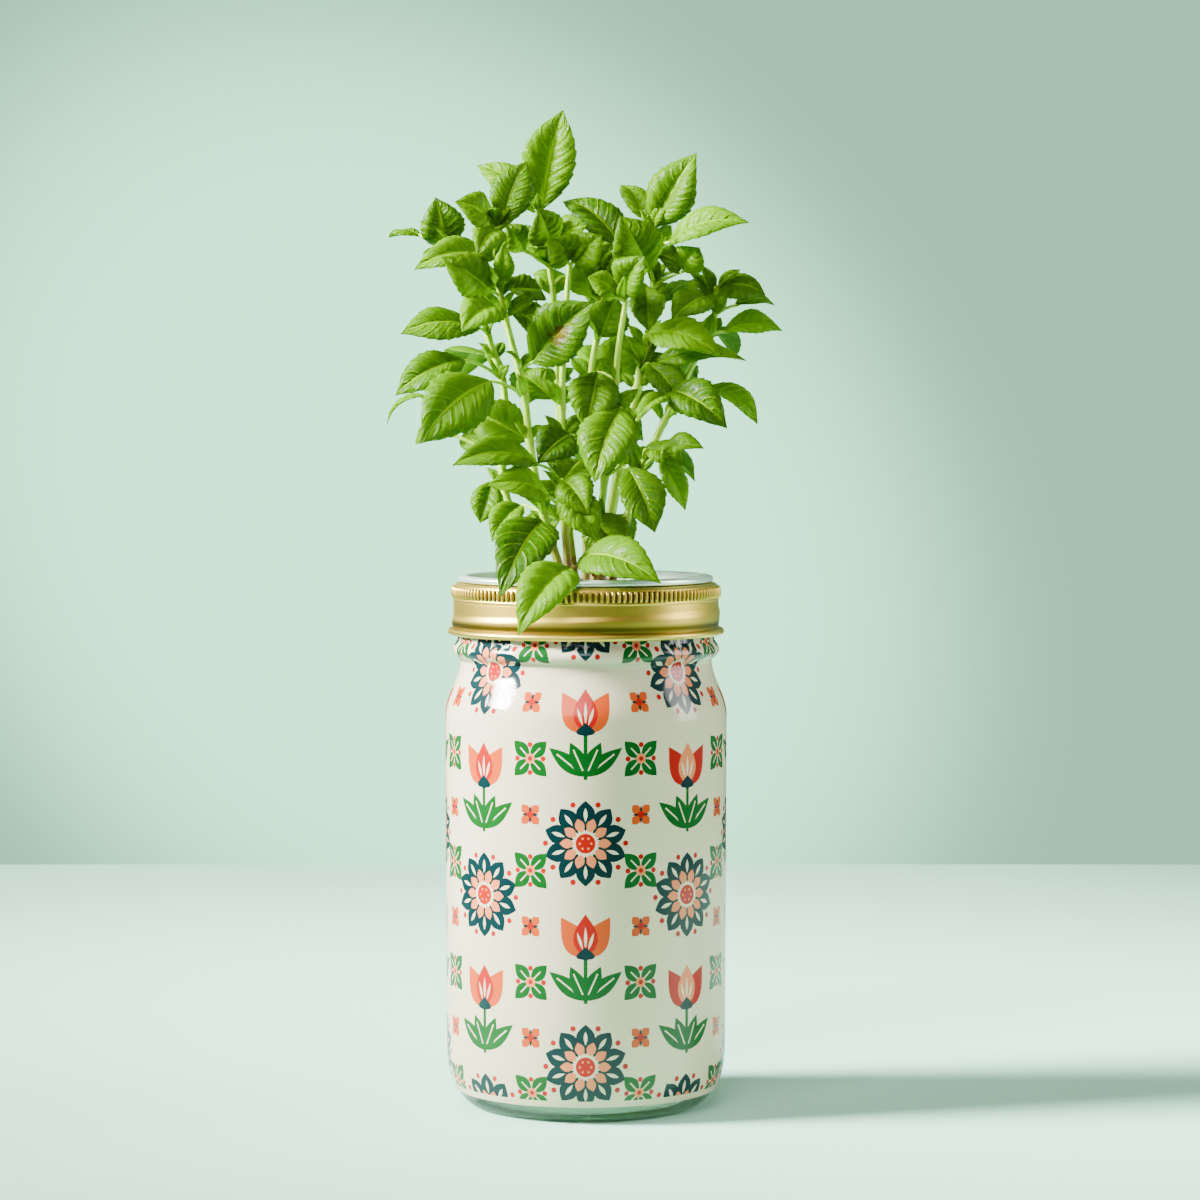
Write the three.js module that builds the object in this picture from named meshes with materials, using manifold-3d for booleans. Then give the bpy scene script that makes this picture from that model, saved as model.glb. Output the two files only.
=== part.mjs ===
// Herb garden jar: a quart glass jar in a printed film, its screw band and sealing ring,
// a net cup of growing medium with a felt wick, and eight basil plants.
// Millimetres, +Z up. The origin is on the jar's axis, on the plane that the jar stands on,
// and the front of the jar faces -Y.
import * as THREE from 'three';
import { mergeVertices } from 'three/addons/utils/BufferGeometryUtils.js';
import Module from 'manifold-3d';

const wasm = await Module();
wasm.setup();

// Facets round every turned piece, and the gaps between pieces
const SIDES = 32;
const SEAT_GAP = 0.3;
const TOUCH = 0.01;

// Glass jar
const JAR_HEIGHT = 175.6;
const SHOULDER_REACH = 4.5;
const BODY_TAPER = 0.35;
const GLASS_WALL = 3.2;
const BASE_THICKNESS = 5;
const PUSH_UP = 2.5;
const PUSH_UP_FALL = 0.3;
const PUSH_UP_EDGE = 7;
const FOOT_INNER = 31;
const FOOT_WIDTH = 5.5;
const HEEL_HEIGHT = 20;
const HEEL_STATIONS = [0, 0.02, 0.11, 0.6, 1];
const INNER_HEEL = 10;
const INNER_HEEL_CUT = 3;
const FLOOR_DISH = 0.5;
const SHOULDER_DROP = 42.6;
const SHOULDER_STEPS = 5;
const WAIST_DROP = 23.6;
const BEAD_HEIGHT = 6.1;
const FINISH_DROP = 15.2;
const FINISH_RADIUS = 42.8;
const FINISH_WALL = 3.9;
const WAIST_INSET = 0.65;
const BEAD_PROUD = 1.95;
const BEAD_EDGE_RADIUS = 0.65;
const BEAD_STATIONS = [0.22, 0.5, 0.78];
const NECK_STEP = 0.3;
const LIP_EDGE_RADIUS = 0.7;

// Right-hand screw thread, the same helix on the glass and in the band
const THREAD_LEAD = 6.35;
const THREAD_DROP = 9.3;
const THREAD_DEPTH = 1.75;
const THREAD_HALF_WIDTH = 1.7;
const THREAD_BITE = 0.25;
const THREAD_CLEARANCE = 0.45;
const THREAD_STATIONS = 10;
const THREAD_ROOM = 0.6;
const THREAD_REACH = 5.2;
const THREAD_FROM = 100;
const THREAD_TO = 450;
const THREAD_FADE = 25;
const GROOVE_HALF_WIDTH = 2.3;
const GROOVE_FROM = -120;
const GROOVE_TO = 475;
const FRONT_AZIMUTH = 270;

// Printed film round the glass
const FILM_GAP = 0.2;
const FILM_THICKNESS = 0.3;
const FILM_FOOT = 6;

// Sealing ring and screw band
const SEAL_THICKNESS = 0.9;
const SEAL_INSET = 0.3;
const BAND_WALL = 0.7;
const BAND_HEIGHT = 17.5;
const FLANGE_OVERHANG = 0.3;
const KNURL_HEIGHT = 5.2;
const KNURL_PROUD = 0.8;
const KNURL_EASE = 0.3;
const TOP_EDGE_RADIUS = 1.4;
const CURL_HEIGHT = 2.7;
const CURL_PROUD = 1.9;
const CURL_FLARE = 0.95;
const CURL_EDGE_RADIUS = 0.5;

// Net cup
const CUP_CLEARANCE = 0.6;
const CUP_RIM_WIDTH = 5.2;
const CUP_RIM_HEIGHT = 2.3;
const CUP_RIM_INNER = 3.7;
const CUP_RIM_EDGE_RADIUS = 1.5;
const CUP_RIM_DISH = 0.6;
const CUP_THROAT = 1;
const CUP_DEPTH = 58;
const CUP_TAPER = 4.5;
const CUP_WALL = 0.8;
const WALL_SLOTS = 20;
const SLOT_WIDTH = 3.2;
const SLOT_HEIGHT = 30;
const SLOT_ABOVE_FLOOR = 6;
const FLOOR_SLOTS = 8;
const FLOOR_SLOT_LENGTH = 14;
const FLOOR_SLOT_INSET = 5;

// Growing medium and wick
const MEDIUM_DROP = 3.1;
const MEDIUM_CROWN = 2.5;
const CROWN_STATION = [0.6, 0.7];
const WICK_WIDTH = 12;
const WICK_THICKNESS = 2;
const WICK_HEAD = 9;
const WICK_FOOT_CLEARANCE = 3;

// Basil: stems of round section, blades folded along the midrib
const PLANT_UNIT = 1;
const ROOT_DEPTH = 12;
const STEM_COLLAR = 1.5;
const SOCKET_CLEARANCE = 0.5;
const STEM_SIDES = 6;
const STEM_STEPS = 10;
const STEM_TIP_RADIUS = 0.9;
const STEM_SAMPLES = 80;
const PETIOLE_RADIUS = 0.65;
const PETIOLE_RISE = 0.5;
const BLADE_THICKNESS = 0.9;
const BLADE_FOLD = 0.3;
const BLADE_STATIONS = [0, 0.13, 0.33, 0.55, 0.77, 0.92];
const BLADE_NECK = 0.08;
const BLADE_FULLNESS = 0.95;
const BLADE_WIDEST = 0.72;
const BLADE_EXPONENT = 0.85;
const LEAF_BAND_CLEARANCE = 6.5;

// Levels and radii that follow from the sizes above
const seatLevel = JAR_HEIGHT + SEAT_GAP;
const flangeUnderside = seatLevel + SEAL_THICKNESS + SEAT_GAP;
const bandTop = flangeUnderside + BAND_WALL;
const bandFoot = bandTop - BAND_HEIGHT;
const cupSeat = bandTop + SEAT_GAP;
const cupFloor = cupSeat - CUP_DEPTH;
const cupRimTop = cupSeat + CUP_RIM_HEIGHT;
const mediumEdge = cupSeat - MEDIUM_DROP;
const bodyRadius = FINISH_RADIUS + SHOULDER_REACH;
const mouthRadius = FINISH_RADIUS - FINISH_WALL;
const neckRadius = FINISH_RADIUS + NECK_STEP;
const skirtInner = FINISH_RADIUS + THREAD_DEPTH - THREAD_BITE;
const skirtOuter = skirtInner + BAND_WALL;
const curlOuter = skirtOuter + CURL_PROUD;
const bandOpening = mouthRadius - FLANGE_OVERHANG;
const cupTopRadius = bandOpening - CUP_CLEARANCE;
const cupFloorRadius = cupTopRadius - CUP_TAPER;
const waistLevel = JAR_HEIGHT - WAIST_DROP;
const finishFoot = JAR_HEIGHT - FINISH_DROP;
const threadLevel = JAR_HEIGHT - THREAD_DROP;
const jarFloor = PUSH_UP + BASE_THICKNESS;

const group = new THREE.Group();

// A closed mesh with its shared corners merged and its empty triangles dropped, as a solid
function solidOf(geometry) {
  geometry.deleteAttribute('normal');
  geometry.deleteAttribute('uv');
  const merged = mergeVertices(geometry, 1e-4);
  const corners = merged.index.array;
  const triVerts = [];
  for (let i = 0; i < corners.length; i += 3) {
    const [a, b, c] = [corners[i], corners[i + 1], corners[i + 2]];
    if (a !== b && b !== c && c !== a) {
      triVerts.push(a, b, c);
    }
  }
  return new wasm.Manifold(new wasm.Mesh({
    numProp: 3,
    vertProperties: new Float32Array(merged.attributes.position.array),
    triVerts: new Uint32Array(triVerts),
  }));
}

function addPiece(name, solid, material, parent = group) {
  const { vertProperties, triVerts } = solid.getMesh();
  const geometry = new THREE.BufferGeometry();
  geometry.setAttribute('position', new THREE.BufferAttribute(vertProperties, 3));
  geometry.setIndex(new THREE.BufferAttribute(triVerts, 1));
  geometry.computeVertexNormals();
  const mesh = new THREE.Mesh(geometry, new THREE.MeshStandardMaterial(material));
  mesh.name = name;
  parent.add(mesh);
  return mesh;
}

// A profile of [radius, height] points, up the outside and down the inside, turned about Z
function turned(profile) {
  const points = profile.map(([r, z]) => new THREE.Vector2(r, z));
  return new THREE.LatheGeometry(points, SIDES).rotateX(Math.PI / 2);
}

// Points of a loop that closes on itself
const closed = (profile) => [...profile, profile[0]];

// How far into the helix a point lies: 1 on its centre line, 0 at half a width from it
function helixShare(azimuth, z, from, to, halfWidth) {
  let share = 0;
  for (const turn of [-1, 0, 1]) {
    const along = azimuth + 360 * turn;
    const end = Math.min(along - from, to - along) / THREAD_FADE;
    const centre = threadLevel + THREAD_LEAD * (along - FRONT_AZIMUTH) / 360;
    const off = Math.abs(z - centre) / halfWidth;
    if (end > 0 && off < 1) {
      share = Math.max(share, Math.min(1, end) * Math.cos(off * Math.PI / 2) ** 2);
    }
  }
  return share;
}

// Moves the points of a turned piece that `chosen` picks outwards, along the helix
function raiseThread(geometry, chosen, from, to, halfWidth, height) {
  const place = geometry.attributes.position;
  for (let i = 0; i < place.count; i++) {
    const [x, y, z] = [place.getX(i), place.getY(i), place.getZ(i)];
    const r = Math.hypot(x, y);
    if (chosen(r, z)) {
      const azimuth = (THREE.MathUtils.radToDeg(Math.atan2(y, x)) + 360) % 360;
      const k = 1 + height * helixShare(azimuth, z, from, to, halfWidth) / r;
      place.setXY(i, x * k, y * k);
    }
  }
  return geometry;
}

// Evenly spaced levels from one height to another
function levels(low, high, count) {
  return Array.from({ length: count }, (_, i) => low + (high - low) * i / (count - 1));
}

// Whether a height lies in a run of levels
const within = (run, z) => z > run[0] - TOUCH && z < run[run.length - 1] + TOUCH;

// The glass jar's outer wall from its foot ring to its neck, with a station at the film's foot
function heelCurve() {
  const foot = FOOT_INNER + FOOT_WIDTH;
  const reach = bodyRadius - BODY_TAPER - foot;
  const stations = [...HEEL_STATIONS.map((t) => t * HEEL_HEIGHT), FILM_FOOT];
  stations.sort((a, b) => a - b);
  return stations.map((z) => [foot + reach * Math.sqrt(1 - (1 - z / HEEL_HEIGHT) ** 2), z]);
}

function shoulderCurve() {
  const waist = FINISH_RADIUS - WAIST_INSET;
  const start = JAR_HEIGHT - SHOULDER_DROP;
  return levels(0, 1, SHOULDER_STEPS + 1).map((t) => [
    waist + (bodyRadius - waist) * (1 + Math.cos(Math.PI * t)) / 2,
    start + (waistLevel - start) * t,
  ]);
}

function beadCurve() {
  const bead = FINISH_RADIUS + BEAD_PROUD;
  const [lower, middle, upper] = BEAD_STATIONS.map((t) => waistLevel + t * BEAD_HEIGHT);
  return [
    [bead - BEAD_EDGE_RADIUS, lower],
    [bead, middle],
    [bead - BEAD_EDGE_RADIUS, upper],
    [neckRadius, waistLevel + BEAD_HEIGHT],
  ];
}

const outerWall = [...heelCurve(), ...shoulderCurve(), ...beadCurve(), [neckRadius, finishFoot]];

function glassJar() {
  const threadZone = levels(finishFoot + THREAD_ROOM, threadLevel + THREAD_REACH, THREAD_STATIONS);
  const innerBody = bodyRadius - GLASS_WALL;
  const innerHeel = innerBody - BODY_TAPER;
  const shoulderFoot = JAR_HEIGHT - SHOULDER_DROP;
  const profile = [
    [0, PUSH_UP],
    [FOOT_INNER - PUSH_UP_EDGE, PUSH_UP - PUSH_UP_FALL],
    [FOOT_INNER, 0],
    ...outerWall,
    ...threadZone.map((z) => [FINISH_RADIUS, z]),
    [FINISH_RADIUS, JAR_HEIGHT - LIP_EDGE_RADIUS],
    [FINISH_RADIUS - LIP_EDGE_RADIUS, JAR_HEIGHT],
    [mouthRadius + LIP_EDGE_RADIUS, JAR_HEIGHT],
    [mouthRadius, JAR_HEIGHT - LIP_EDGE_RADIUS],
    [mouthRadius, waistLevel],
    [(mouthRadius + innerBody) / 2, (waistLevel + shoulderFoot) / 2],
    [innerBody, shoulderFoot],
    [innerHeel, jarFloor + INNER_HEEL],
    [innerHeel - INNER_HEEL_CUT, jarFloor + INNER_HEEL_CUT],
    [innerHeel - INNER_HEEL, jarFloor - FLOOR_DISH],
    [0, jarFloor],
  ];
  const onFinish = (r, z) => r > FINISH_RADIUS - TOUCH && within(threadZone, z);
  return solidOf(raiseThread(turned(profile), onFinish, THREAD_FROM, THREAD_TO,
    THREAD_HALF_WIDTH, THREAD_DEPTH));
}

// Film: the glass's outer wall from a little above its foot up to the neck, offset outwards
function printedSleeve() {
  const backed = outerWall.filter(([, z]) => z >= FILM_FOOT);
  const offset = (by) => backed.map(([r, z]) => [r + by, z]);
  const outer = offset(FILM_GAP + FILM_THICKNESS);
  const inner = offset(FILM_GAP).reverse();
  return solidOf(turned(closed([...outer, ...inner])));
}

function lidSeal() {
  const inner = mouthRadius + SEAL_INSET;
  const outer = FINISH_RADIUS - SEAL_INSET;
  const top = seatLevel + SEAL_THICKNESS;
  return solidOf(turned(closed([[outer, seatLevel], [outer, top], [inner, top], [inner, seatLevel]])));
}

function screwBand() {
  const threadFoot = bandFoot + CURL_HEIGHT;
  const knurlFoot = bandTop - KNURL_HEIGHT;
  const threadZone = levels(threadFoot, knurlFoot - THREAD_ROOM, THREAD_STATIONS);
  const knurl = skirtOuter + KNURL_PROUD;
  const knurlInner = knurl - BAND_WALL;
  const profile = [
    [skirtInner + CURL_FLARE, bandFoot],
    [curlOuter - CURL_EDGE_RADIUS, bandFoot],
    [curlOuter, bandFoot + CURL_HEIGHT / 3],
    [curlOuter - CURL_EDGE_RADIUS, bandFoot + 2 * CURL_HEIGHT / 3],
    [skirtOuter + CURL_FLARE, threadFoot - CURL_EDGE_RADIUS],
    ...threadZone.map((z) => [skirtOuter, z]),
    [knurl - KNURL_EASE, knurlFoot],
    [knurl, knurlFoot + KNURL_HEIGHT / 4],
    [knurl, bandTop - TOP_EDGE_RADIUS],
    [knurl - TOP_EDGE_RADIUS / 3, bandTop - TOP_EDGE_RADIUS / 3],
    [knurl - TOP_EDGE_RADIUS, bandTop],
    [bandOpening, bandTop],
    [bandOpening, flangeUnderside],
    [knurlInner - TOP_EDGE_RADIUS / 2, flangeUnderside],
    [knurlInner, flangeUnderside - TOP_EDGE_RADIUS / 2],
    [knurlInner, knurlFoot + KNURL_EASE],
    ...threadZone.map((z) => [skirtInner, z]).reverse(),
    [skirtInner + CURL_FLARE, threadFoot - CURL_EDGE_RADIUS],
  ];
  const onSkirt = (r, z) => r < skirtOuter + TOUCH && within(threadZone, z);
  return solidOf(raiseThread(turned(closed(profile)), onSkirt, GROOVE_FROM, GROOVE_TO,
    GROOVE_HALF_WIDTH, THREAD_BITE + THREAD_CLEARANCE));
}

// A box of the given size, as a solid, moved into place by a matrix
function block(x, y, z, matrix) {
  return solidOf(new THREE.BoxGeometry(x, y, z).applyMatrix4(matrix));
}

const spunAbout = (angle) => new THREE.Matrix4().makeRotationZ(angle);
const movedBy = (x, y, z) => new THREE.Matrix4().makeTranslation(x, y, z);

function netCup() {
  const rimOuter = cupTopRadius + CUP_RIM_WIDTH;
  const rimInner = rimOuter - CUP_RIM_INNER;
  const inner = cupTopRadius - CUP_WALL;
  const floorTop = cupFloor + CUP_WALL;
  const profile = [
    [0, cupFloor],
    [cupFloorRadius, cupFloor],
    [cupTopRadius, cupSeat],
    [rimOuter, cupSeat],
    [rimOuter, cupRimTop - CUP_RIM_EDGE_RADIUS],
    [rimOuter - CUP_RIM_EDGE_RADIUS / 3, cupRimTop - CUP_RIM_EDGE_RADIUS / 3],
    [rimOuter - CUP_RIM_EDGE_RADIUS, cupRimTop],
    [rimInner + CUP_RIM_DISH, cupRimTop - CUP_RIM_DISH / 2],
    [rimInner - CUP_RIM_DISH, cupRimTop - CUP_RIM_EDGE_RADIUS],
    [inner, cupSeat - CUP_THROAT],
    [cupFloorRadius - CUP_WALL, floorTop],
    [0, floorTop],
  ];
  let cup = solidOf(turned(profile));
  const slotMiddle = cupFloor + SLOT_ABOVE_FLOOR + SLOT_HEIGHT / 2;
  for (let i = 0; i < WALL_SLOTS; i++) {
    const spin = spunAbout(2 * Math.PI * i / WALL_SLOTS);
    const place = spin.multiply(movedBy(cupTopRadius, 0, slotMiddle));
    cup = cup.subtract(block(4 * CUP_TAPER, SLOT_WIDTH, SLOT_HEIGHT, place));
  }
  const slotCentre = cupFloorRadius - FLOOR_SLOT_INSET - FLOOR_SLOT_LENGTH / 2;
  for (let i = 0; i < FLOOR_SLOTS; i++) {
    const spin = spunAbout(2 * Math.PI * (i + 0.5) / FLOOR_SLOTS);
    const place = spin.multiply(movedBy(slotCentre, 0, cupFloor));
    cup = cup.subtract(block(FLOOR_SLOT_LENGTH, SLOT_WIDTH, 4 * CUP_WALL, place));
  }
  const holeThickness = WICK_THICKNESS + 2 * SEAT_GAP;
  const holeWidth = WICK_WIDTH + 2 * SEAT_GAP;
  return cup.subtract(block(holeThickness, holeWidth, 4 * CUP_WALL, movedBy(0, 0, cupFloor)));
}

// A felt strip that hangs through the cup's floor, with its head folded flat on the floor
const wickHeadFoot = cupFloor + CUP_WALL + SEAT_GAP;
const wickHeadTop = wickHeadFoot + WICK_THICKNESS;

function wick() {
  const half = WICK_THICKNESS / 2;
  const foot = jarFloor + WICK_FOOT_CLEARANCE;
  const side = new THREE.Shape();
  side.moveTo(-half, foot);
  side.lineTo(half, foot);
  side.lineTo(half, wickHeadFoot);
  side.lineTo(half + WICK_HEAD, wickHeadFoot);
  side.lineTo(half + WICK_HEAD, wickHeadTop);
  side.lineTo(half, wickHeadTop);
  side.quadraticCurveTo(-half, wickHeadTop, -half, wickHeadFoot);
  side.closePath();
  const options = { depth: WICK_WIDTH, bevelEnabled: false, curveSegments: 3 };
  const strip = new THREE.ExtrudeGeometry(side, options);
  return solidOf(strip.rotateX(Math.PI / 2).translate(0, WICK_WIDTH / 2, 0));
}

// The plants, in plant units. Places are [x, y, height above the medium's edge]. A leaf is its
// blade's base, its tip, its width, how far the blade bows out as a share of its length, and by
// how many degrees its face leans from upwards to the front.
const overBand = -(curlOuter + LEAF_BAND_CLEARANCE) / PLANT_UNIT;
const plants = [
  {
    stemRadius: 1.7,
    stem: [[-8, -3, 0], [-15, -4, 28], [-19, -5, 51], [-21, -6, 68], [-26, -7, 88], [-29, -8, 101],
      [-31, -8, 122]],
    leaves: [
      [[-28, -9, 123], [-20, -4, 145], 14, 0.08, 60],
      [[-31, -9, 123], [-43, -18, 131], 14, 0.12, 50],
      [[-29, -11, 121], [-36, -24, 113], 11, 0.12, 40],
      [[-31, -10, 112], [-57, -20, 109], 15, 0.12, 40],
      [[-32, -10, 101], [-47, -24, 112], 15, 0.12, 70],
      [[-27, -12, 104], [-27, -20, 116], 7, 0.1, 60],
      [[-26, -2, 102], [-13, 5, 99], 14, 0.1, 45],
      [[-25, -3, 94], [-15, 3, 88], 12, 0.1, 50],
      [[-29, -12, 95], [-41, -27, 88], 15, 0.15, 45],
      [[-18, -12, 77], [2, -24, 97], 20, 0.06, 75],
      [[-32, -12, 71], [-55, -26, 51], 21, 0.12, 60],
      [[-20, -4, 51], [-40, 2, 61], 16, 0.08, 65],
      [[-14, -16, 24], [-28, overBand + 10, 1], 19, 0.14, 60],
      [[-22, 0, 29], [-32, -6, 17], 11, 0.1, 40],
    ],
  },
  {
    stemRadius: 1.7,
    stem: [[-14, 3, 0], [-25, 8, 25], [-28.5, 10, 39], [-28, 11, 68], [-33, 10, 85], [-38, 9, 101],
      [-43, 8, 108], [-46, 8, 116]],
    leaves: [
      [[-48, 8, 116], [-51, 4, 133], 15, 0.08, 80],
      [[-57, 16, 121], [-68, 22, 121], 10, 0.1, 20],
      [[-36, 4, 89], [-62, -8, 88], 15, 0.12, 40],
      [[-41, 0, 78], [-64, -10, 67], 15, 0.14, 50],
      [[-55, 12, 66], [-69, 20, 57], 8, 0.14, 10],
      [[-51, 14, 54], [-59, 18, 50], 8, 0.1, 30],
      [[-33, 14, 51], [-44, 20, 51], 12, 0.1, 50],
      [[-32, 4, 37], [-36, 0, 23], 11, 0.1, 60],
      [[-43, 15, 110], [-53, 40, 113], 17, 0.12, 0],
      [[-34, 15, 80], [-46, 46, 72], 19, 0.14, 0],
      [[-29, 15, 46], [-36, 42, 44], 17, 0.14, 0],
    ],
  },
  {
    stemRadius: 1.6,
    stem: [[-4, 10, 0], [-8, 15, 40], [-10, 16, 80], [-12.5, 15, 111], [-16, 15, 128]],
    leaves: [
      [[-15, 14, 130], [-8, 10, 163], 18, 0.05, 70],
      [[-18, 16, 129], [-37, 24, 146], 13, 0.1, 30],
      [[-21, 6, 115], [-27, 2, 124], 11, 0.1, 60],
      [[-12, 10, 117], [-16, 2, 129], 14, 0.08, 60],
      [[-10, 12, 118], [0, 4, 124], 13, 0.1, 50],
      [[-11, 10, 113], [-17, 2, 115], 7, 0.1, 40],
      [[-12, 20, 102], [-6, 35, 108], 17, 0.1, 30],
      [[-15, 20, 112], [-28, 46, 118], 17, 0.12, 0],
      [[-10, 20, 72], [-22, 50, 64], 20, 0.14, 0],
      [[-8, 19, 46], [4, 50, 40], 18, 0.14, 0],
      [[-6, 16, 22], [-22, 44, 14], 15, 0.14, 0],
    ],
  },
  {
    stemRadius: 1.7,
    stem: [[-6, 1, 0], [-7.5, 1, 30], [-8, 1, 58], [-8, 1, 72], [-6.5, 2, 99], [-5.5, 2, 110]],
    leaves: [
      [[-6, 0, 111], [-12, -7, 119], 14, 0.1, 60],
      [[-4, 0, 111], [5, -5, 120], 14, 0.1, 60],
      [[-16, -11, 43], [-44, -24, 44], 13, 0.12, 40],
      [[-5, -4, 53], [-16, -16, 44], 15, 0.1, 60],
      [[-12, 5, 65], [-22, 12, 74], 12, 0.1, 60],
      [[-12, -14, 32], [-32, -28, 37], 14, 0.12, 50],
      [[-8, -14, 38], [1, -26, 27], 13, 0.12, 50],
      [[-8, -13, 37], [-1, -7, 45], 16, 0.1, 65],
      [[-7, -15, 35], [4, -26, 18], 14, 0.12, 50],
    ],
  },
  {
    stemRadius: 1.5,
    stem: [[0, 9, 0], [0, 12, 40], [2, 13, 76], [5, 13, 92], [7, 12, 106]],
    leaves: [
      [[3, 23, 115], [18, 34, 127], 13, 0.1, 30],
      [[6, 10, 107], [9, 8, 118], 10, 0.1, 50],
      [[5, 14, 104], [3, 21, 116], 12, 0.1, 50],
      [[10, 16, 70], [13, 21, 88], 16, 0.06, 75],
      [[5, 10, 86], [10, 7, 100], 15, 0.08, 70],
      [[2, 10, 100], [-3, 9, 112], 13, 0.08, 70],
      [[7, 18, 97], [14, 46, 106], 16, 0.12, 0],
      [[3, 19, 74], [8, 54, 78], 18, 0.12, 0],
      [[1, 17, 50], [20, 46, 52], 16, 0.14, 0],
      [[2, 14, 22], [16, 42, 14], 15, 0.14, 0],
    ],
  },
  {
    stemRadius: 1.6,
    stem: [[3, -6, 0], [6, -9, 35], [9.5, -10, 64], [11, -10, 82], [13.5, -10, 98]],
    leaves: [
      [[13, -11, 100], [19, -22, 112], 14, 0.1, 60],
      [[10, -11, 99], [1, -15, 106], 11, 0.1, 40],
      [[4, -7, 74], [0, -21, 55], 17, 0.1, 65],
      [[12, -16, 62], [3, -31, 38], 20, 0.1, 70],
      [[14, -14, 42], [23, -26, 21], 15, 0.1, 65],
      [[1, -11, 26], [13, -18, 10], 16, 0.1, 55],
      [[-5, -33, 9], [-22, overBand, -11], 18, 0.2, 45],
      [[-2, -25, 12], [24, overBand + 4, 6], 18, 0.14, 55],
    ],
  },
  {
    stemRadius: 2.2,
    stem: [[5, 3, 0], [11.5, 6, 42], [15.5, 7, 59], [19.5, 8, 78], [21.5, 8, 86], [23, 8, 105],
      [22.5, 8, 122]],
    leaves: [
      [[23, 8, 124], [37, 2, 148], 18, 0.06, 65],
      [[20, 10, 126], [12, 22, 139], 10, 0.1, 30],
      [[28, 2, 118], [54, -12, 125], 15, 0.12, 45],
      [[12, 12, 117], [-8, 26, 134], 16, 0.1, 35],
      [[22, 0, 108], [12, -10, 126], 18, 0.08, 70],
      [[20, -1, 103], [21, -9, 88], 12, 0.1, 60],
      [[33, 3, 108], [38, -1, 116], 12, 0.1, 60],
      [[32, 4, 109], [24, -3, 114], 11, 0.1, 50],
      [[20, -2, 87], [45, -14, 80], 17, 0.14, 50],
      [[23, 4, 77], [54, -4, 79], 14, 0.12, 40],
      [[21, 0, 77], [34, -14, 60], 12, 0.12, 60],
      [[27, -10, 68], [47, -24, 56], 15, 0.14, 55],
      [[28, -14, 66], [17, -26, 59], 9, 0.12, 40],
      [[26, 13, 98], [44, 38, 104], 17, 0.12, 0],
      [[20, 13, 70], [38, 42, 66], 19, 0.14, 0],
      [[14, 11, 44], [38, 34, 38], 16, 0.14, 0],
    ],
  },
  {
    stemRadius: 1.7,
    stem: [[9, -3, 0], [14, -1, 25], [18.7, 1, 42], [22.5, 3, 49], [28, 6, 60], [35, 10, 74], [43, 12, 90],
      [44.5, 12, 101]],
    leaves: [
      [[44, 10, 103], [61, 6, 101], 14, 0.12, 30],
      [[42, 8, 100], [29, -4, 92], 14, 0.12, 55],
      [[47, 10, 88], [67, 12, 89], 13, 0.12, 35],
      [[51, 16, 97], [65, 24, 98], 9, 0.1, 20],
      [[41, 3, 69], [59, 5, 57], 10, 0.12, 30],
      [[26, -12, 47], [39, -22, 49], 12, 0.12, 50],
      [[20, -5, 48], [33, -11, 43], 11, 0.12, 45],
      [[25, -8, 45], [34, -4, 27], 9, 0.1, 55],
      [[38, 16, 86], [52, 42, 80], 16, 0.14, 0],
      [[30, 12, 60], [45, 36, 57], 16, 0.14, 0],
    ],
  },
];

const point = (place) => new THREE.Vector3(...place).multiplyScalar(PLANT_UNIT);

// Rings of points, each the same count, skinned into a closed geometry between two end points
function skin(rings, start, end) {
  const count = rings[0].length;
  const corners = [start, ...rings.flat(), end];
  const last = corners.length - 1;
  const index = [];
  const at = (ring, i) => 1 + ring * count + i % count;
  for (let i = 0; i < count; i++) {
    index.push(0, at(0, i + 1), at(0, i));
    for (let ring = 0; ring < rings.length - 1; ring++) {
      index.push(at(ring, i), at(ring, i + 1), at(ring + 1, i));
      index.push(at(ring + 1, i), at(ring, i + 1), at(ring + 1, i + 1));
    }
    index.push(at(rings.length - 1, i), at(rings.length - 1, i + 1), last);
  }
  const geometry = new THREE.BufferGeometry().setFromPoints(corners);
  geometry.setIndex(index);
  return geometry;
}

// A stem along a smooth curve through its places, from its root up, thinner towards the top
function stemSolid(curve, radius) {
  const rings = levels(0, 1, STEM_STEPS + 1).map((t) => {
    const centre = curve.getPoint(t);
    const r = radius + (STEM_TIP_RADIUS - radius) * t;
    return levels(0, 2 * Math.PI, STEM_SIDES + 1).slice(1).map((a) =>
      new THREE.Vector3(centre.x + r * Math.cos(a), centre.y + r * Math.sin(a), centre.z));
  });
  return solidOf(skin(rings, curve.getPoint(0), curve.getPoint(1)));
}

// The point of a stem at a given height, or its tip if the stem ends lower
function stemAt(curve, height) {
  const found = curve.getPoints(STEM_SAMPLES).find((p) => p.z >= height);
  return found ?? curve.getPoint(1);
}

// Half-width of an ovate blade along its length, as a share of its greatest half-width
function bladeShape(u) {
  const swell = Math.sin(Math.PI * u ** BLADE_WIDEST) ** BLADE_EXPONENT;
  return BLADE_NECK * (1 - u) + BLADE_FULLNESS * swell;
}

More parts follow.
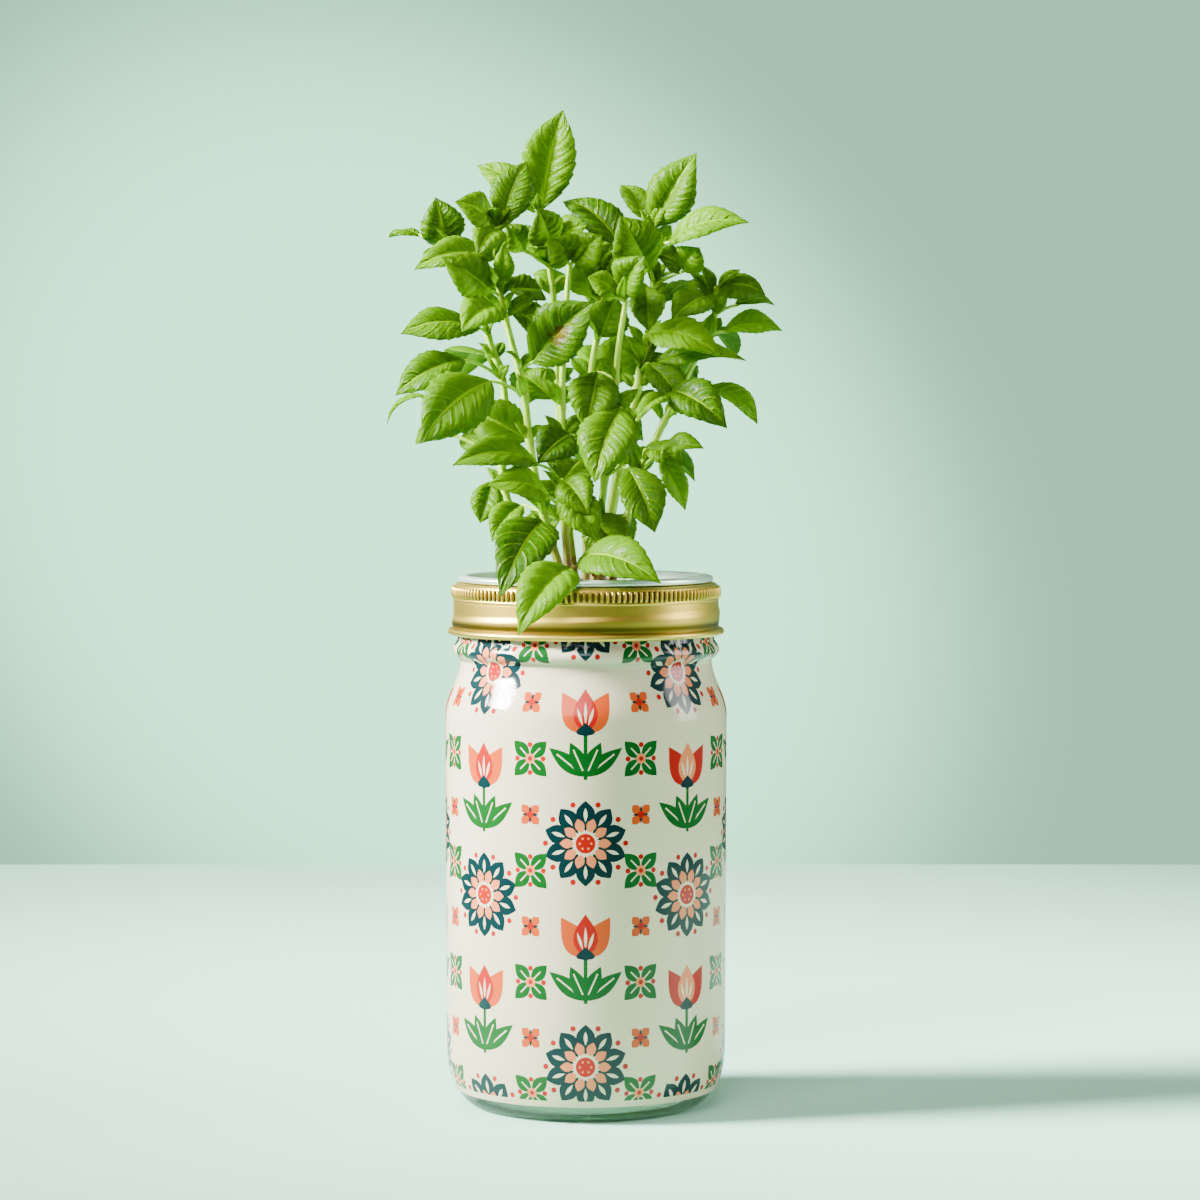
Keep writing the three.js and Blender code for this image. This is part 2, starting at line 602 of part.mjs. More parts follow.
// A leaf: its petiole from the stem to the blade's base, and its blade from there to the tip
function leafSolid(node, base, tip, width, bow, lean) {
  const along = tip.clone().sub(base);
  const length = along.length();
  along.normalize();
  const leaning = THREE.MathUtils.degToRad(lean);
  const facing = new THREE.Vector3(0, -Math.sin(leaning), Math.cos(leaning));
  const face = facing.addScaledVector(along, -along.dot(facing)).normalize();
  const side = face.clone().cross(along);
  const bend = new THREE.Quaternion().setFromUnitVectors(along, base.clone().sub(node).normalize());
  const petioleRing = [side, face, side.clone().negate(), face.clone().negate()].map((way) =>
    way.clone().applyQuaternion(bend).multiplyScalar(PETIOLE_RADIUS).add(node));
  const bladeRings = BLADE_STATIONS.map((u) => {
    const centre = base.clone().addScaledVector(along, u * length)
      .addScaledVector(face, 4 * bow * length * u * (1 - u));
    const half = width / 2 * bladeShape(u);
    const edge = (sign) => centre.clone().addScaledVector(side, sign * half)
      .addScaledVector(face, BLADE_FOLD * half);
    const rib = (by) => centre.clone().addScaledVector(face, by);
    return [edge(1), rib(BLADE_THICKNESS / 3), edge(-1), rib(-2 * BLADE_THICKNESS / 3)];
  });
  return solidOf(skin([petioleRing, ...bladeRings], node, tip));
}

function plantSolid({ stem, stemRadius, leaves }) {
  const [foot, ...places] = stem.map(point);
  const root = foot.clone().setZ(-ROOT_DEPTH);
  const collar = foot.clone().setZ(MEDIUM_CROWN + STEM_COLLAR);
  const curve = new THREE.CatmullRomCurve3([root, foot, collar, ...places], false, 'centripetal');
  let plant = stemSolid(curve, stemRadius * PLANT_UNIT);
  for (const [basePlace, tipPlace, width, bow, lean] of leaves) {
    const base = point(basePlace);
    const beside = stemAt(curve, base.z);
    const reach = Math.hypot(base.x - beside.x, base.y - beside.y);
    const node = stemAt(curve, Math.max(collar.z + PETIOLE_RADIUS, base.z - PETIOLE_RISE * reach));
    plant = plant.add(leafSolid(node, base, point(tipPlace), width * PLANT_UNIT, bow, lean));
  }
  return plant;
}

// The plug of growing medium, with a socket for each stem
function growMedium() {
  const foot = wickHeadTop + SEAT_GAP;
  const inset = CUP_WALL + 2 * SEAT_GAP;
  const radiusAt = (z) => cupFloorRadius + CUP_TAPER * (z - cupFloor) / CUP_DEPTH - inset;
  const [across, up] = CROWN_STATION;
  const profile = [
    [0, foot],
    [radiusAt(foot), foot],
    [radiusAt(mediumEdge), mediumEdge],
    [across * radiusAt(mediumEdge), mediumEdge + up * MEDIUM_CROWN],
    [0, mediumEdge + MEDIUM_CROWN],
  ];
  let medium = solidOf(turned(profile));
  for (const { stem, stemRadius } of plants) {
    const depth = ROOT_DEPTH + SEAT_GAP + 2 * MEDIUM_CROWN;
    const bore = stemRadius * PLANT_UNIT + SOCKET_CLEARANCE;
    const socket = new THREE.CylinderGeometry(bore, bore, depth, STEM_SIDES);
    const { x, y } = point(stem[0]);
    socket.rotateX(Math.PI / 2).rotateZ(Math.PI / 2);
    socket.translate(x, y, mediumEdge - ROOT_DEPTH - SEAT_GAP + depth / 2);
    medium = medium.subtract(solidOf(socket));
  }
  return medium;
}

addPiece('glass_jar', glassJar(), {
  color: 0xcfe3d8, roughness: 0.05, metalness: 0, transparent: true, opacity: 0.4,
});
addPiece('printed_sleeve', printedSleeve(), { color: 0xe9e6dc, roughness: 0.25, metalness: 0 });
addPiece('lid_seal', lidSeal(), { color: 0xd9d7cf, roughness: 0.7, metalness: 0 });
addPiece('screw_band', screwBand(), { color: 0xc9a24a, roughness: 0.35, metalness: 1 });
addPiece('net_cup', netCup(), { color: 0xd6d8d6, roughness: 0.3, metalness: 1 });
addPiece('grow_medium', growMedium(), { color: 0x4a3222, roughness: 0.95, metalness: 0 });
addPiece('wick', wick(), { color: 0xe8e4d8, roughness: 0.95, metalness: 0 });

const herbs = new THREE.Group();
herbs.position.z = mediumEdge;
plants.forEach((plant, i) => {
  const leafGreen = { color: 0x4f9a2a, roughness: 0.5, metalness: 0 };
  addPiece(`basil_plant_${i + 1}`, plantSolid(plant), leafGreen, herbs);
});
group.add(herbs);

export default group;
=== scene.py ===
import math

import bmesh
import bpy
import numpy as np
from mathutils import Matrix, Vector
from mathutils.geometry import delaunay_2d_cdt


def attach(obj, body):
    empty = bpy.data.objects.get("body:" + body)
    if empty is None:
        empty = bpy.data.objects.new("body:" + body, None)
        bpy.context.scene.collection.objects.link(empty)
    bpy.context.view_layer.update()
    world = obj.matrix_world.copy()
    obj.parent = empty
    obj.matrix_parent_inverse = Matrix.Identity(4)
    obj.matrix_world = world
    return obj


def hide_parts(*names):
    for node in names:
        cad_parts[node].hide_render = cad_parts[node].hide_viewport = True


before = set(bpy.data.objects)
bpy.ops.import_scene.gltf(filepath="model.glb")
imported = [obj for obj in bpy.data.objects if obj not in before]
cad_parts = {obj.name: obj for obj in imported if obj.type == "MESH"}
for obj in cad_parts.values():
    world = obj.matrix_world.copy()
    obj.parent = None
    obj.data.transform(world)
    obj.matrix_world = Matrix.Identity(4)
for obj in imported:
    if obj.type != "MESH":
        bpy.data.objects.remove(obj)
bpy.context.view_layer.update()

# Sizes are in millimetres, as in the part's own source; directions round the jar are in degrees
MM = 0.001
FRONT = 270
SHARP_ANGLE = 38

# Where a rolled sheet closes: how near its flat edge the seam lies, and how near corners are merged there
SEAM_REACH = 0.0001
SEAM_MERGE = 0.002

# Glass jar
JAR_HEIGHT = 175.6
FINISH_RADIUS = 42.8
BODY_RADIUS = 47.3
BODY_TAPER = 0.35
GLASS_WALL = 3.2
FOOT_INNER = 31
FOOT_OUTER = 36.5
PUSH_UP = 2.5
JAR_FLOOR = 7.5
JAR_COVE = 10
FLOOR_FLAT = 30
FLOOR_CROWN = 0.3
FLOOR_CROWN_REACH = 33
HEEL_HEIGHT = 20
SHOULDER_FOOT = 133
WAIST_LEVEL = 152
WAIST_RADIUS = 42.15
BEAD_RADIUS = 44.75
BEAD_HEIGHT = 6.1
BEAD_FULLNESS = 0.8
NECK_RADIUS = 43.1
FINISH_FOOT = 160.4
LIP_HEIGHT = 1.2
MOUTH_RADIUS = 38.9

# Threads: start, end, half width, depth and, on the band, the lower flank's width to the upper's
THREAD_LEAD = 6.35
THREAD_LEVEL = 166.3
THREAD_FADE = 25
GLASS_THREAD = (100, 450, 1.7, 1.75)
BAND_THREAD = (-120, 475, 2.3, 0.5, 2.6)

# Printed film
FILM_FOOT = 6
FILM_BACK = 0.2
FILM_THICKNESS = 0.3
FILM_OUTER = BODY_RADIUS + FILM_BACK + FILM_THICKNESS
FILM_LENGTH = math.tau * FILM_OUTER
PRINT_COLUMNS = 8
PRINT_DROP = 37.0
PRINT_START = 20.0
PRINT_FOOT = 8.2
INK_COLOURS = {"cream": (226, 216, 180), "green": (0, 86, 24), "teal": (0, 42, 46),
               "peach": (232, 132, 84), "orange": (206, 80, 22), "coral": (178, 20, 8)}
CREAM, GREEN, TEAL, PEACH, ORANGE, CORAL = range(len(INK_COLOURS))

# Seal and screw band
SEAL_FOOT = 175.9
SEAL_TOP = 176.8
SEAL_MARGIN = 0.3
SEAL_EASE = 0.25
BAND_FOOT = 160.3
BAND_TOP = 177.8
BAND_WALL = 0.7
BAND_OPENING = 38.6
SKIRT_RADIUS = 45.0
SKIRT_FOOT = 163.0
SKIRT_TOP = 171.4
CURL_RADIUS = 46.9
# Height of the painted shade line in the crease above the band's curl
CREASE_SHADE_LEVEL = 164.0
KNURL_FOOT = 172.7
KNURL_TOP = 176.7
KNURL_RADIUS = 45.8
KNURL_DEPTH = 0.85
KNURL_ROOT = KNURL_RADIUS - KNURL_DEPTH
KNURL_RIBS = 147
RIB_WIDTH = 1.35

# Net cup
CUP_SEAT = 178.1
CUP_FLOOR = 120.1
CUP_RIM_TOP = 180.4
CUP_RIM_OUTER = 43.2
CUP_RIM_INNER = 39.5
CUP_TOP_RADIUS = 38.0
CUP_FLOOR_RADIUS = 33.5
CUP_WALL = 0.8
CUP_CORNER = 2.0
WALL_SLOTS = 20
SLOT_WIDTH = 3.2
SLOT_FOOT = CUP_FLOOR + 6
SLOT_TOP = SLOT_FOOT + 30
FLOOR_SLOTS = 8
FLOOR_SLOT_ENDS = (CUP_FLOOR_RADIUS - 19, CUP_FLOOR_RADIUS - 5)
WICK_HOLE = (1.3, 6.3)

# Growing medium, its fibres and the wick
MEDIUM_FOOT = 123.5
MEDIUM_EDGE = 175.0
MEDIUM_CROWN = 2.5
MEDIUM_RADIUS = 36.36
MEDIUM_FOOT_RADIUS = 32.4
FIBRES_PER_SQUARE_METRE = 330000.0
FIBRE_LENGTH = 7.5
FIBRE_RADIUS = 0.11
FIBRE_SEED = 4
WICK_FOOT = 10.5
WICK_BEND = 2.2
WICK_FLAP = 10.0
WICK_GAP = 0.3
WICK_HALF_THICKNESS = 1.0
WICK_HALF_WIDTH = 6.0

# Basil: stems, petioles and blades; a blade's relief is in shares of its half width
PLANT_SEED = 40
STEM_ROOT = 12
STEM_COLLAR = 1.5
STEM_TIP_RADIUS = 0.9
STEM_LOBES = 0.06
STEM_WOOD = (182, 202)
STEM_WOOD_SPREAD = 30
KNOT_SWELL = 0.22
KNOT_STATIONS = 1.6
KNOT_LOWEST = 0.65
PETIOLE_RISE = 0.5
PETIOLE_ARCH = 0.12
PETIOLE_SWEEP = 0.6
PETIOLE_OVERLAP = 1.5
PETIOLE_RADII = (0.78, 0.45)
PETIOLE_SINK = 0.2
BLADE_GRID = (52, 22)
LEAFLET_GRID = (20, 10)
LEAFLETS_FROM = 14
LEAFLET_LENGTHS = (6.5, 13.0)
LEAFLET_WIDTHS = (0.42, 0.55)
LEAFLET_LEANS = (20, 65)
LEAFLET_BOW = 0.12
LEAF_TONE = 0.4
TONE_FALL = 0.06
TONE_SPREAD = 0.18
TONE_LIMITS = (0.02, 0.95)
YOUNG_TONE = 0.25
BLOTCH_TONE = 0.3
LOW_LEAF = 30
BLADE_THICKNESS = 0.26
BLADE_BELLY = 0.9
BLADE_FOLD = 0.3
BLADE_DROOP = 0.05
BLADE_TWIST = 0.55
BLADE_SWAY = 0.05
BLADE_RIPPLE = 0.05
BLADE_QUILT = 0.18
BLADE_CURL = 0.14
BLADE_TEETH = 9
TOOTH_DEPTH = 0.09
VEIN_PAIRS = 6.5
VEIN_SWING = 0.24
VEIN_CURVE = 1.25
VEIN_START = 0.3
VEIN_STAGGER = 0.45
OVER_BAND = -53.4
UPPER, LOWER, STEM = range(3)

# Stage: a pale table top
STAGE_REACH = 690
STAGE_CORNER = 6
STAGE_POINTS = 192

# Camera, in metres and degrees, and the direction of the painted pool of light on the backdrop behind the
# jar
CAMERA_PLACE = (0.00475, -1.334, 0.2393)
CAMERA_DIP = 2.9
CAMERA_LENS = 118.05
PAINTED_POOL_MIDDLE = (-0.045, 0.998, -0.03)
PAINTED_POOL_SLANT = 0.25


class Wire:
    """A socket in a node tree; arithmetic on it adds Math nodes."""

    def __init__(self, socket):
        self.socket = socket

    def __add__(self, other):
        return maths("ADD", self, other)

    def __radd__(self, other):
        return maths("ADD", other, self)

    def __sub__(self, other):
        return maths("SUBTRACT", self, other)

    def __rsub__(self, other):
        return maths("SUBTRACT", other, self)

    def __mul__(self, other):
        return maths("MULTIPLY", self, other)

    def __rmul__(self, other):
        return maths("MULTIPLY", other, self)

    def __truediv__(self, other):
        return maths("DIVIDE", self, other)

    def __pow__(self, other):
        return maths("POWER", self, other)

    def __abs__(self):
        return maths("ABSOLUTE", self)

    def over(self, low, high):
        """0 below low, 1 above high and a straight rise between."""
        return maths("MINIMUM", maths("MAXIMUM", (self - low) / (high - low), 0.0), 1.0)


def join(entry, value):
    """Links a wire to a socket, or sets the socket to a plain value; a colour may lack its alpha."""
    if isinstance(value, Wire):
        entry.id_data.links.new(value.socket, entry)
    elif entry.type == "RGBA" and len(value) == 3:
        entry.default_value = (*value, 1.0)
    else:
        entry.default_value = value


def maths(operation, *values):
    """A Math node on wires and numbers."""
    tree = next(value.socket.id_data for value in values if isinstance(value, Wire))
    node = tree.nodes.new("ShaderNodeMath")
    node.operation = operation
    for entry, value in zip(node.inputs, values):
        join(entry, value)
    return Wire(node.outputs[0])


class Nodes:
    """A node tree; every node but its sums comes from one method."""

    def __init__(self, tree):
        self.tree = tree
        tree.nodes.clear()

    def node(self, kind, settings=None, **sockets):
        """Adds a node: its settings first, then its sockets by identifier, or by name with _ for a space."""
        made = self.tree.nodes.new(kind)
        for key, value in (settings or {}).items():
            setattr(made, key, value)
        for key, value in sockets.items():
            join(next(s for s in made.inputs if key in (s.identifier, s.name.replace(" ", "_"))), value)
        return made

    def wire(self, kind, settings=None, out=None, **sockets):
        """The same, giving one of its outputs: the first, or the one named."""
        made = self.node(kind, settings, **sockets)
        return Wire(next(s for s in made.outputs if out in (None, s.identifier, s.name)))

    def mix(self, share, first, second):
        return self.wire("ShaderNodeMix", {"data_type": "RGBA"}, "Result_Color",
                         Factor_Float=share, A_Color=first, B_Color=second)

    def mix_shaders(self, share, first, second):
        return self.wire("ShaderNodeMixShader", Fac=share, Shader=first, Shader_001=second)

    def split(self, vector):
        return [Wire(s) for s in self.node("ShaderNodeSeparateXYZ", Vector=vector).outputs]

    def vector(self, x=0.0, y=0.0, z=0.0):
        return self.wire("ShaderNodeCombineXYZ", X=x, Y=y, Z=z)

    def distance(self, place, other):
        return self.wire("ShaderNodeVectorMath", {"operation": "DISTANCE"}, "Value",
                         Vector=place, Vector_001=other)


class Finish(Nodes):
    """A material's nodes, with the textures and shaders that the finishes share."""

    def __init__(self, name):
        self.material = bpy.data.materials.new(name)
        self.material.use_nodes = True
        super().__init__(self.material.node_tree)

    def place(self, stretch=None):
        """Object coordinates, scaled by a vector where one is given."""
        here = self.wire("ShaderNodeTexCoord", out="Object")
        return self.wire("ShaderNodeMapping", Vector=here, Scale=stretch) if stretch else here

    def noise(self, scale, detail=3.0, stretch=None, roughness=0.5):
        return self.wire("ShaderNodeTexNoise", out="Fac", Vector=self.place(stretch), Scale=scale,
                         Detail=detail, Roughness=roughness)

    def cells(self, scale, feature="F1"):
        return self.wire("ShaderNodeTexVoronoi", {"feature": feature}, "Distance",
                         Vector=self.place(), Scale=scale)

    def bump(self, height, depth, strength):
        return self.wire("ShaderNodeBump", Height=height, Distance=depth, Strength=strength)

    def attribute(self, name):
        return self.wire("ShaderNodeAttribute", {"attribute_name": name}, "Fac")

    def surface(self, **sockets):
        return self.wire("ShaderNodeBsdfPrincipled", **sockets)

    def lit_through(self, surface, tint, share):
        """A surface that a share of the light comes through, in a tint."""
        return self.mix_shaders(share, surface, self.wire("ShaderNodeBsdfTranslucent", Color=tint))

    def done(self, shader):
        self.node("ShaderNodeOutputMaterial", Surface=shader)
        return self.material


def colour(*screen):
    """A colour given as on a screen, 0 to 255, as the renderer takes it."""
    parts = [c / 255 for c in screen]
    return [c / 12.92 if c <= 0.04045 else ((c + 0.055) / 1.055) ** 2.4 for c in parts]


def darker(tint, share):
    return [c * share for c in tint]


def jar_glass():
    f = Finish("jar_glass")
    ripple = f.noise(60.0, 1.0)
    return f.done(f.surface(
        Base_Color=(0.36, 0.67, 0.43), Roughness=0.02, IOR=1.5, Transmission_Weight=1.0, Alpha=0.72,
        Normal=f.bump(ripple, 0.0004, 0.3)))


def printed(name, ink):
    """Ink on the glossy film: a fine print grain under a clear gloss."""
    f = Finish(name)
    grain = f.noise(2600.0, 2.0)
    cloud = f.noise(55.0)
    wrinkle = f.noise(26.0, 1.0, (1.0, 1.0, 0.35))
    skin = f.surface(
        Base_Color=f.mix(grain * 0.10 + cloud * 0.10, ink, darker(ink, 0.72)), Roughness=0.5 + grain * 0.12,
        Specular_IOR_Level=0.05, Coat_Weight=0.9, Coat_IOR=1.46, Coat_Roughness=0.08,
        Normal=f.bump(wrinkle, 0.0005, 0.2))
    return f.done(f.lit_through(skin, ink, 0.3))


def gold_satin():
    """Gold with fine turned lines, with painted shade in the crease above the curl and between the ribs of
    the knurl.
    """
    f = Finish("gold_satin")
    x, y, level = (part / MM for part in f.split(f.place()))
    radius = (x * x + y * y) ** 0.5
    lines = f.noise(1.0, stretch=(60.0, 60.0, 5200.0))
    smudge = f.noise(70.0, 4.0)
    # Painted shade: a dark line in the crease above the curl
    crease_shade = 1.0 - abs(level - CREASE_SHADE_LEVEL).over(0.4, 1.7)
    # Painted shade: the valleys between the knurl's ribs are darkened
    shade_between_ribs = 1.0 - radius.over(KNURL_ROOT + 0.07, KNURL_ROOT + 0.6)
    above_foot = level.over(KNURL_FOOT + 0.1, KNURL_FOOT + 0.5)
    below_top = 1.0 - level.over(KNURL_TOP - 0.5, KNURL_TOP - 0.1)
    tint = f.mix(smudge, colour(204, 175, 74), colour(188, 157, 56))
    tint = f.mix(crease_shade * 0.92, tint, colour(74, 60, 6))
    tint = f.mix(shade_between_ribs * above_foot * below_top * 0.75, tint, colour(70, 54, 8))
    return f.done(f.surface(
        Base_Color=tint, Metallic=1.0, Roughness=0.31 + lines * 0.08 + smudge * 0.08,
        Normal=f.bump(lines, 0.00003, 0.25)))


def cup_steel():
    f = Finish("cup_steel")
    lines = f.noise(1.0, stretch=(90.0, 90.0, 4200.0))
    smudge = f.noise(60.0, 4.0)
    # The steel's green tint is painted reflection of the mint surround
    return f.done(f.surface(
        Base_Color=f.mix(smudge, colour(230, 254, 235), colour(217, 244, 224)), Metallic=0.8,
        Roughness=0.22 + lines * 0.16 + smudge * 0.06, Normal=f.bump(lines, 0.00003, 0.3)))


def seal_rubber():
    f = Finish("seal_rubber")
    grain = f.noise(1800.0)
    dust = f.noise(160.0, 4.0)
    return f.done(f.surface(
        Base_Color=f.mix(dust, colour(226, 223, 214), colour(204, 200, 188)), Roughness=0.55 + grain * 0.2,
        Normal=f.bump(grain, 0.0001, 0.4)))


def coir(name, dark, light):
    f = Finish(name)
    strands = f.noise(900.0, 5.0, (1.0, 0.35, 0.5))
    lumps = f.noise(140.0, 4.0)
    return f.done(f.surface(
        Base_Color=f.mix(strands * 0.6 + lumps * 0.4, dark, light), Roughness=0.82 + strands * 0.16,
        Normal=f.bump(strands * 0.6 + lumps, 0.0012, 0.9)))


def wick_felt():
    f = Finish("wick_felt")
    hairs = f.noise(1400.0, 5.0, (1.0, 1.0, 0.4))
    cloud = f.noise(120.0)
    return f.done(f.surface(
        Base_Color=f.mix(hairs * 0.5 + cloud * 0.4, colour(238, 234, 222), colour(208, 202, 186)),
        Roughness=0.88 + hairs * 0.1, Normal=f.bump(hairs + cloud * 0.5, 0.0006, 0.8)))


def vein_count(along, out, other_half):
    """Counts side veins along a blade; each lies where the count is a whole number and a half."""
    return (along - VEIN_SWING * out ** VEIN_CURVE) * VEIN_PAIRS + other_half * VEIN_STAGGER + VEIN_START


def basil_leaf(name, upper):
    """A leaf's face: green by age, with pale veins, a fine net between them, painted shade in the furrows
    beside the veins and a few blemishes.
    """
    f = Finish(name)
    if upper:
        old, young = (0.010, 0.048, 0.0), (0.16, 0.35, 0.0)
        groove_shade, pale = (0.006, 0.034, 0.0), (0.28, 0.52, 0.0)
    else:
        old, young = (0.035, 0.115, 0.004), (0.15, 0.30, 0.012)
        groove_shade, pale = (0.03, 0.09, 0.004), (0.27, 0.42, 0.05)
    along, across, _ = f.split(f.wire("ShaderNodeUVMap", {"uv_map": "blade"}))
    across = across * 2.0 - 1.0
    out = abs(across)
    tone = f.attribute("tone")
    mottle = f.noise(240.0, 4.0)

    wander = f.noise(160.0, 2.0) - 0.5
    count = vein_count(along, out, maths("GREATER_THAN", across, 0.0)) + wander * 0.25
    from_vein = abs(maths("FRACT", count) - 0.5)
    side_vein = (1.0 - from_vein.over(0.0, 0.07)) * (1.0 - out * 0.55)
    # The furrow beside each side vein: sunk by the bump and darkened with painted shade
    groove = (1.0 - from_vein.over(0.03, 0.26)) * (1.0 - out * 0.5) * out.over(0.03, 0.15)
    midrib = 1.0 - out.over(0.008, 0.055)
    vein = maths("MAXIMUM", side_vein, midrib)
    net = 1.0 - f.cells(620.0, "DISTANCE_TO_EDGE").over(0.0, 0.16)

    off_patch = f.distance(f.vector(along, across * 0.45), (0.5, -0.06, 0.0))
    ragged = off_patch + (f.noise(150.0, 4.0, roughness=0.7) - 0.5) * 0.5
    spoiled = f.attribute("blotch")
    halo = (1.0 - ragged.over(0.09, 0.22)) * spoiled
    dry = (1.0 - ragged.over(0.08, 0.12)) * spoiled
    scar = (1.0 - abs(ragged - 0.1).over(0.004, 0.026)) * spoiled
    speck = (1.0 - f.cells(360.0).over(0.16, 0.24)) * along.over(0.45, 0.6) * f.attribute("specks")
    hurt = (scar + speck).over(0.0, 1.0)

    flesh = f.mix((tone + (mottle - 0.5) * 0.35).over(0.0, 1.0), old, young)
    for share, tint in (
            (groove * 0.5, groove_shade), (net * 0.10, pale),
            (maths("MAXIMUM", side_vein * 0.55, midrib * 0.75), pale),
            (halo * 0.55, (0.05, 0.055, 0.0)), (dry * 0.75, (0.075, 0.046, 0.0)),
            (hurt * 0.85, (0.04, 0.018, 0.0))):
        flesh = f.mix(share, flesh, tint)
    relief = mottle * 0.1 + net * (-0.1) + (vein * 0.2 + groove * 0.8) * (-1.0 if upper else 0.8)
    skin = f.surface(
        Base_Color=flesh, Roughness=0.23 + mottle * 0.14 if upper else 0.5 + mottle * 0.2, IOR=1.4,
        Specular_IOR_Level=0.13 if upper else 0.08, Normal=f.bump(relief, 0.0007, 0.85))
    shine_through = (0.23 + tone * 0.34) * (1.0 - (hurt + dry).over(0.0, 1.0) * 0.7)
    return f.done(f.lit_through(skin, (0.38, 0.64, 0.0), shine_through))


def basil_stem():
    """Pale green, ribbed lengthways, turning brown and woody at the foot."""
    f = Finish("basil_stem")
    level = f.split(f.place())[2] / MM
    streak = f.noise(1.0, 4.0, (900.0, 900.0, 60.0))
    blotches = f.noise(220.0, 4.0)
    green = f.mix(streak, (0.20, 0.40, 0.0), (0.36, 0.60, 0.012))
    woody = f.mix(streak, (0.07, 0.036, 0.006), (0.26, 0.20, 0.02))
    foot = 1.0 - (level + (blotches - 0.5) * STEM_WOOD_SPREAD).over(*STEM_WOOD)
    return f.done(f.surface(
        Base_Color=f.mix(foot, green, woody), Roughness=0.42 + streak * 0.2, IOR=1.45,
        Subsurface_Weight=0.15, Subsurface_Radius=(0.002, 0.003, 0.001), Subsurface_Scale=1.0,
        Normal=f.bump(streak, 0.0003, 0.6)))


def matt_paint(name, tint):
    f = Finish(name)
    cloud = f.noise(3.0, 4.0)
    tooth = f.noise(420.0)
    return f.done(f.surface(
        Base_Color=f.mix(cloud * 0.12, tint, darker(tint, 0.8)), Roughness=0.72 + tooth * 0.1,
        Normal=f.bump(tooth, 0.0004, 0.18)))


def placed(name, data):
    """An object in the scene."""
    made = bpy.data.objects.new(name, data)
    bpy.context.scene.collection.objects.link(made)
    return made


def meshed(name, corners, faces, materials, slots=None):
    """A mesh from corners in millimetres, with its materials and the slot of each face."""
    mesh = bpy.data.meshes.new(name)
    mesh.from_pydata((np.asarray(corners, float) * MM).tolist(), [], faces)
    for material in materials:
        mesh.materials.append(material)
    if slots is not None:
        mesh.polygons.foreach_set("material_index", slots)
    return mesh


def build(name, corners, faces, materials, slots=None, merge=0.0001):
    """An object from corners and faces; doubles are merged and faces turned outwards."""
    mesh = meshed(name, corners, faces, materials, slots)
    work = bmesh.new()
    work.from_mesh(mesh)
    bmesh.ops.remove_doubles(work, verts=work.verts, dist=merge * MM)
    bmesh.ops.dissolve_degenerate(work, edges=work.edges, dist=1e-8)
    bmesh.ops.recalc_face_normals(work, faces=work.faces)
    work.to_mesh(mesh)
    work.free()
    mesh.shade_smooth()
    mesh.set_sharp_from_angle(angle=math.radians(SHARP_ANGLE))
    return placed(name, mesh)


def turns(count):
    """Angles in radians, evenly round a circle."""
    return np.arange(count) * math.tau / count


def around(radius, spin, height):
    """Places at radii, angles in radians and heights about Z."""
    return np.stack(np.broadcast_arrays(radius * np.cos(spin), radius * np.sin(spin), height), -1)


def unit(vector):
    return vector / np.linalg.norm(vector, axis=-1, keepdims=True)


def beside(line):
    """Unit vectors square to a flat line of points, to its left."""
    way = unit(np.gradient(line, axis=0))
    return np.stack([-way[:, 1], way[:, 0]], 1)


def bent(start, middle, end, steps):
    """Points of a curve from start to end that is drawn towards the middle."""
    t = np.linspace(0, 1, steps)[:, None]
    return (1 - t) ** 2 * start + 2 * t * (1 - t) * middle + t * t * end


def ring_faces(rows, columns, loop=False, caps=False):
    """Quads over a grid that closes round its columns; its rows may loop too, or end in caps."""
    grid = np.arange(rows * columns).reshape(rows, columns)
    low, high = (grid, np.roll(grid, -1, axis=0)) if loop else (grid[:-1], grid[1:])
    quads = np.stack([low, np.roll(low, -1, axis=1), np.roll(high, -1, axis=1), high], -1)
    ends = [grid[0, ::-1].tolist(), grid[-1].tolist()] if caps else []
    return quads.reshape(-1, 4).tolist() + ends


def merged(*meshes):
    """Corners and faces of several meshes as one."""
    corners, faces = np.empty((0, 3)), []
    for more, more_faces in meshes:
        faces += [[i + len(corners) for i in face] for face in more_faces]
        corners = np.concatenate([corners, more])
    return corners, faces


def turned(profile, segments, loop=True, reshape=None):
    """Corners and faces of (radius, height) points turned about Z."""
    radius, height = np.array(profile, float).T[..., None]
    spin = turns(segments)
    if reshape is not None:
        radius = reshape(np.degrees(spin), radius, height)
    return around(radius, spin, height).reshape(-1, 3), ring_faces(len(profile), segments, loop)


def rounded(outline, steps=5):
    """A closed outline of (radius, height, ease) points, each corner rounded off over its ease."""
    spots = np.array(outline, float)
    points = []
    for before, here, after in zip(np.roll(spots, 1, axis=0), spots, np.roll(spots, -1, axis=0)):
        corner, ease = here[:2], here[2]
        if not ease:
            points.append(corner)
            continue
        arms = [before[:2] - corner, after[:2] - corner]
        reach = min(ease, *(0.48 * np.linalg.norm(arm) for arm in arms))
        start, end = (corner + unit(arm) * reach for arm in arms)
        points += [*bent(start, corner, end, steps)]
    return points


def shifted(radius, height, steps):
    """Profile points given as steps out and up from one place."""
    return [(radius + out, height + up) for out, up in steps]


def thread_rise(azimuth, height, start, end, half_width, depth, below=1.0):
    """How far the right-hand thread stands out; below is its lower flank's width to its upper's."""
    share = np.zeros(np.broadcast(azimuth, height).shape)
    for turn in (-1, 0, 1):
        along = azimuth + 360 * turn
        fade = np.clip(np.minimum(along - start, end - along) / THREAD_FADE, 0, 1)
        fade = fade * fade * (3 - 2 * fade)
        centre = THREAD_LEVEL + THREAD_LEAD * (along - FRONT) / 360
        flank = np.where(height > centre, half_width, half_width * below)
        off = np.clip(np.abs(height - centre) / flank, 0, 1)
        share = np.maximum(share, fade * np.cos(off * math.pi / 2) ** 2)
    return depth * share


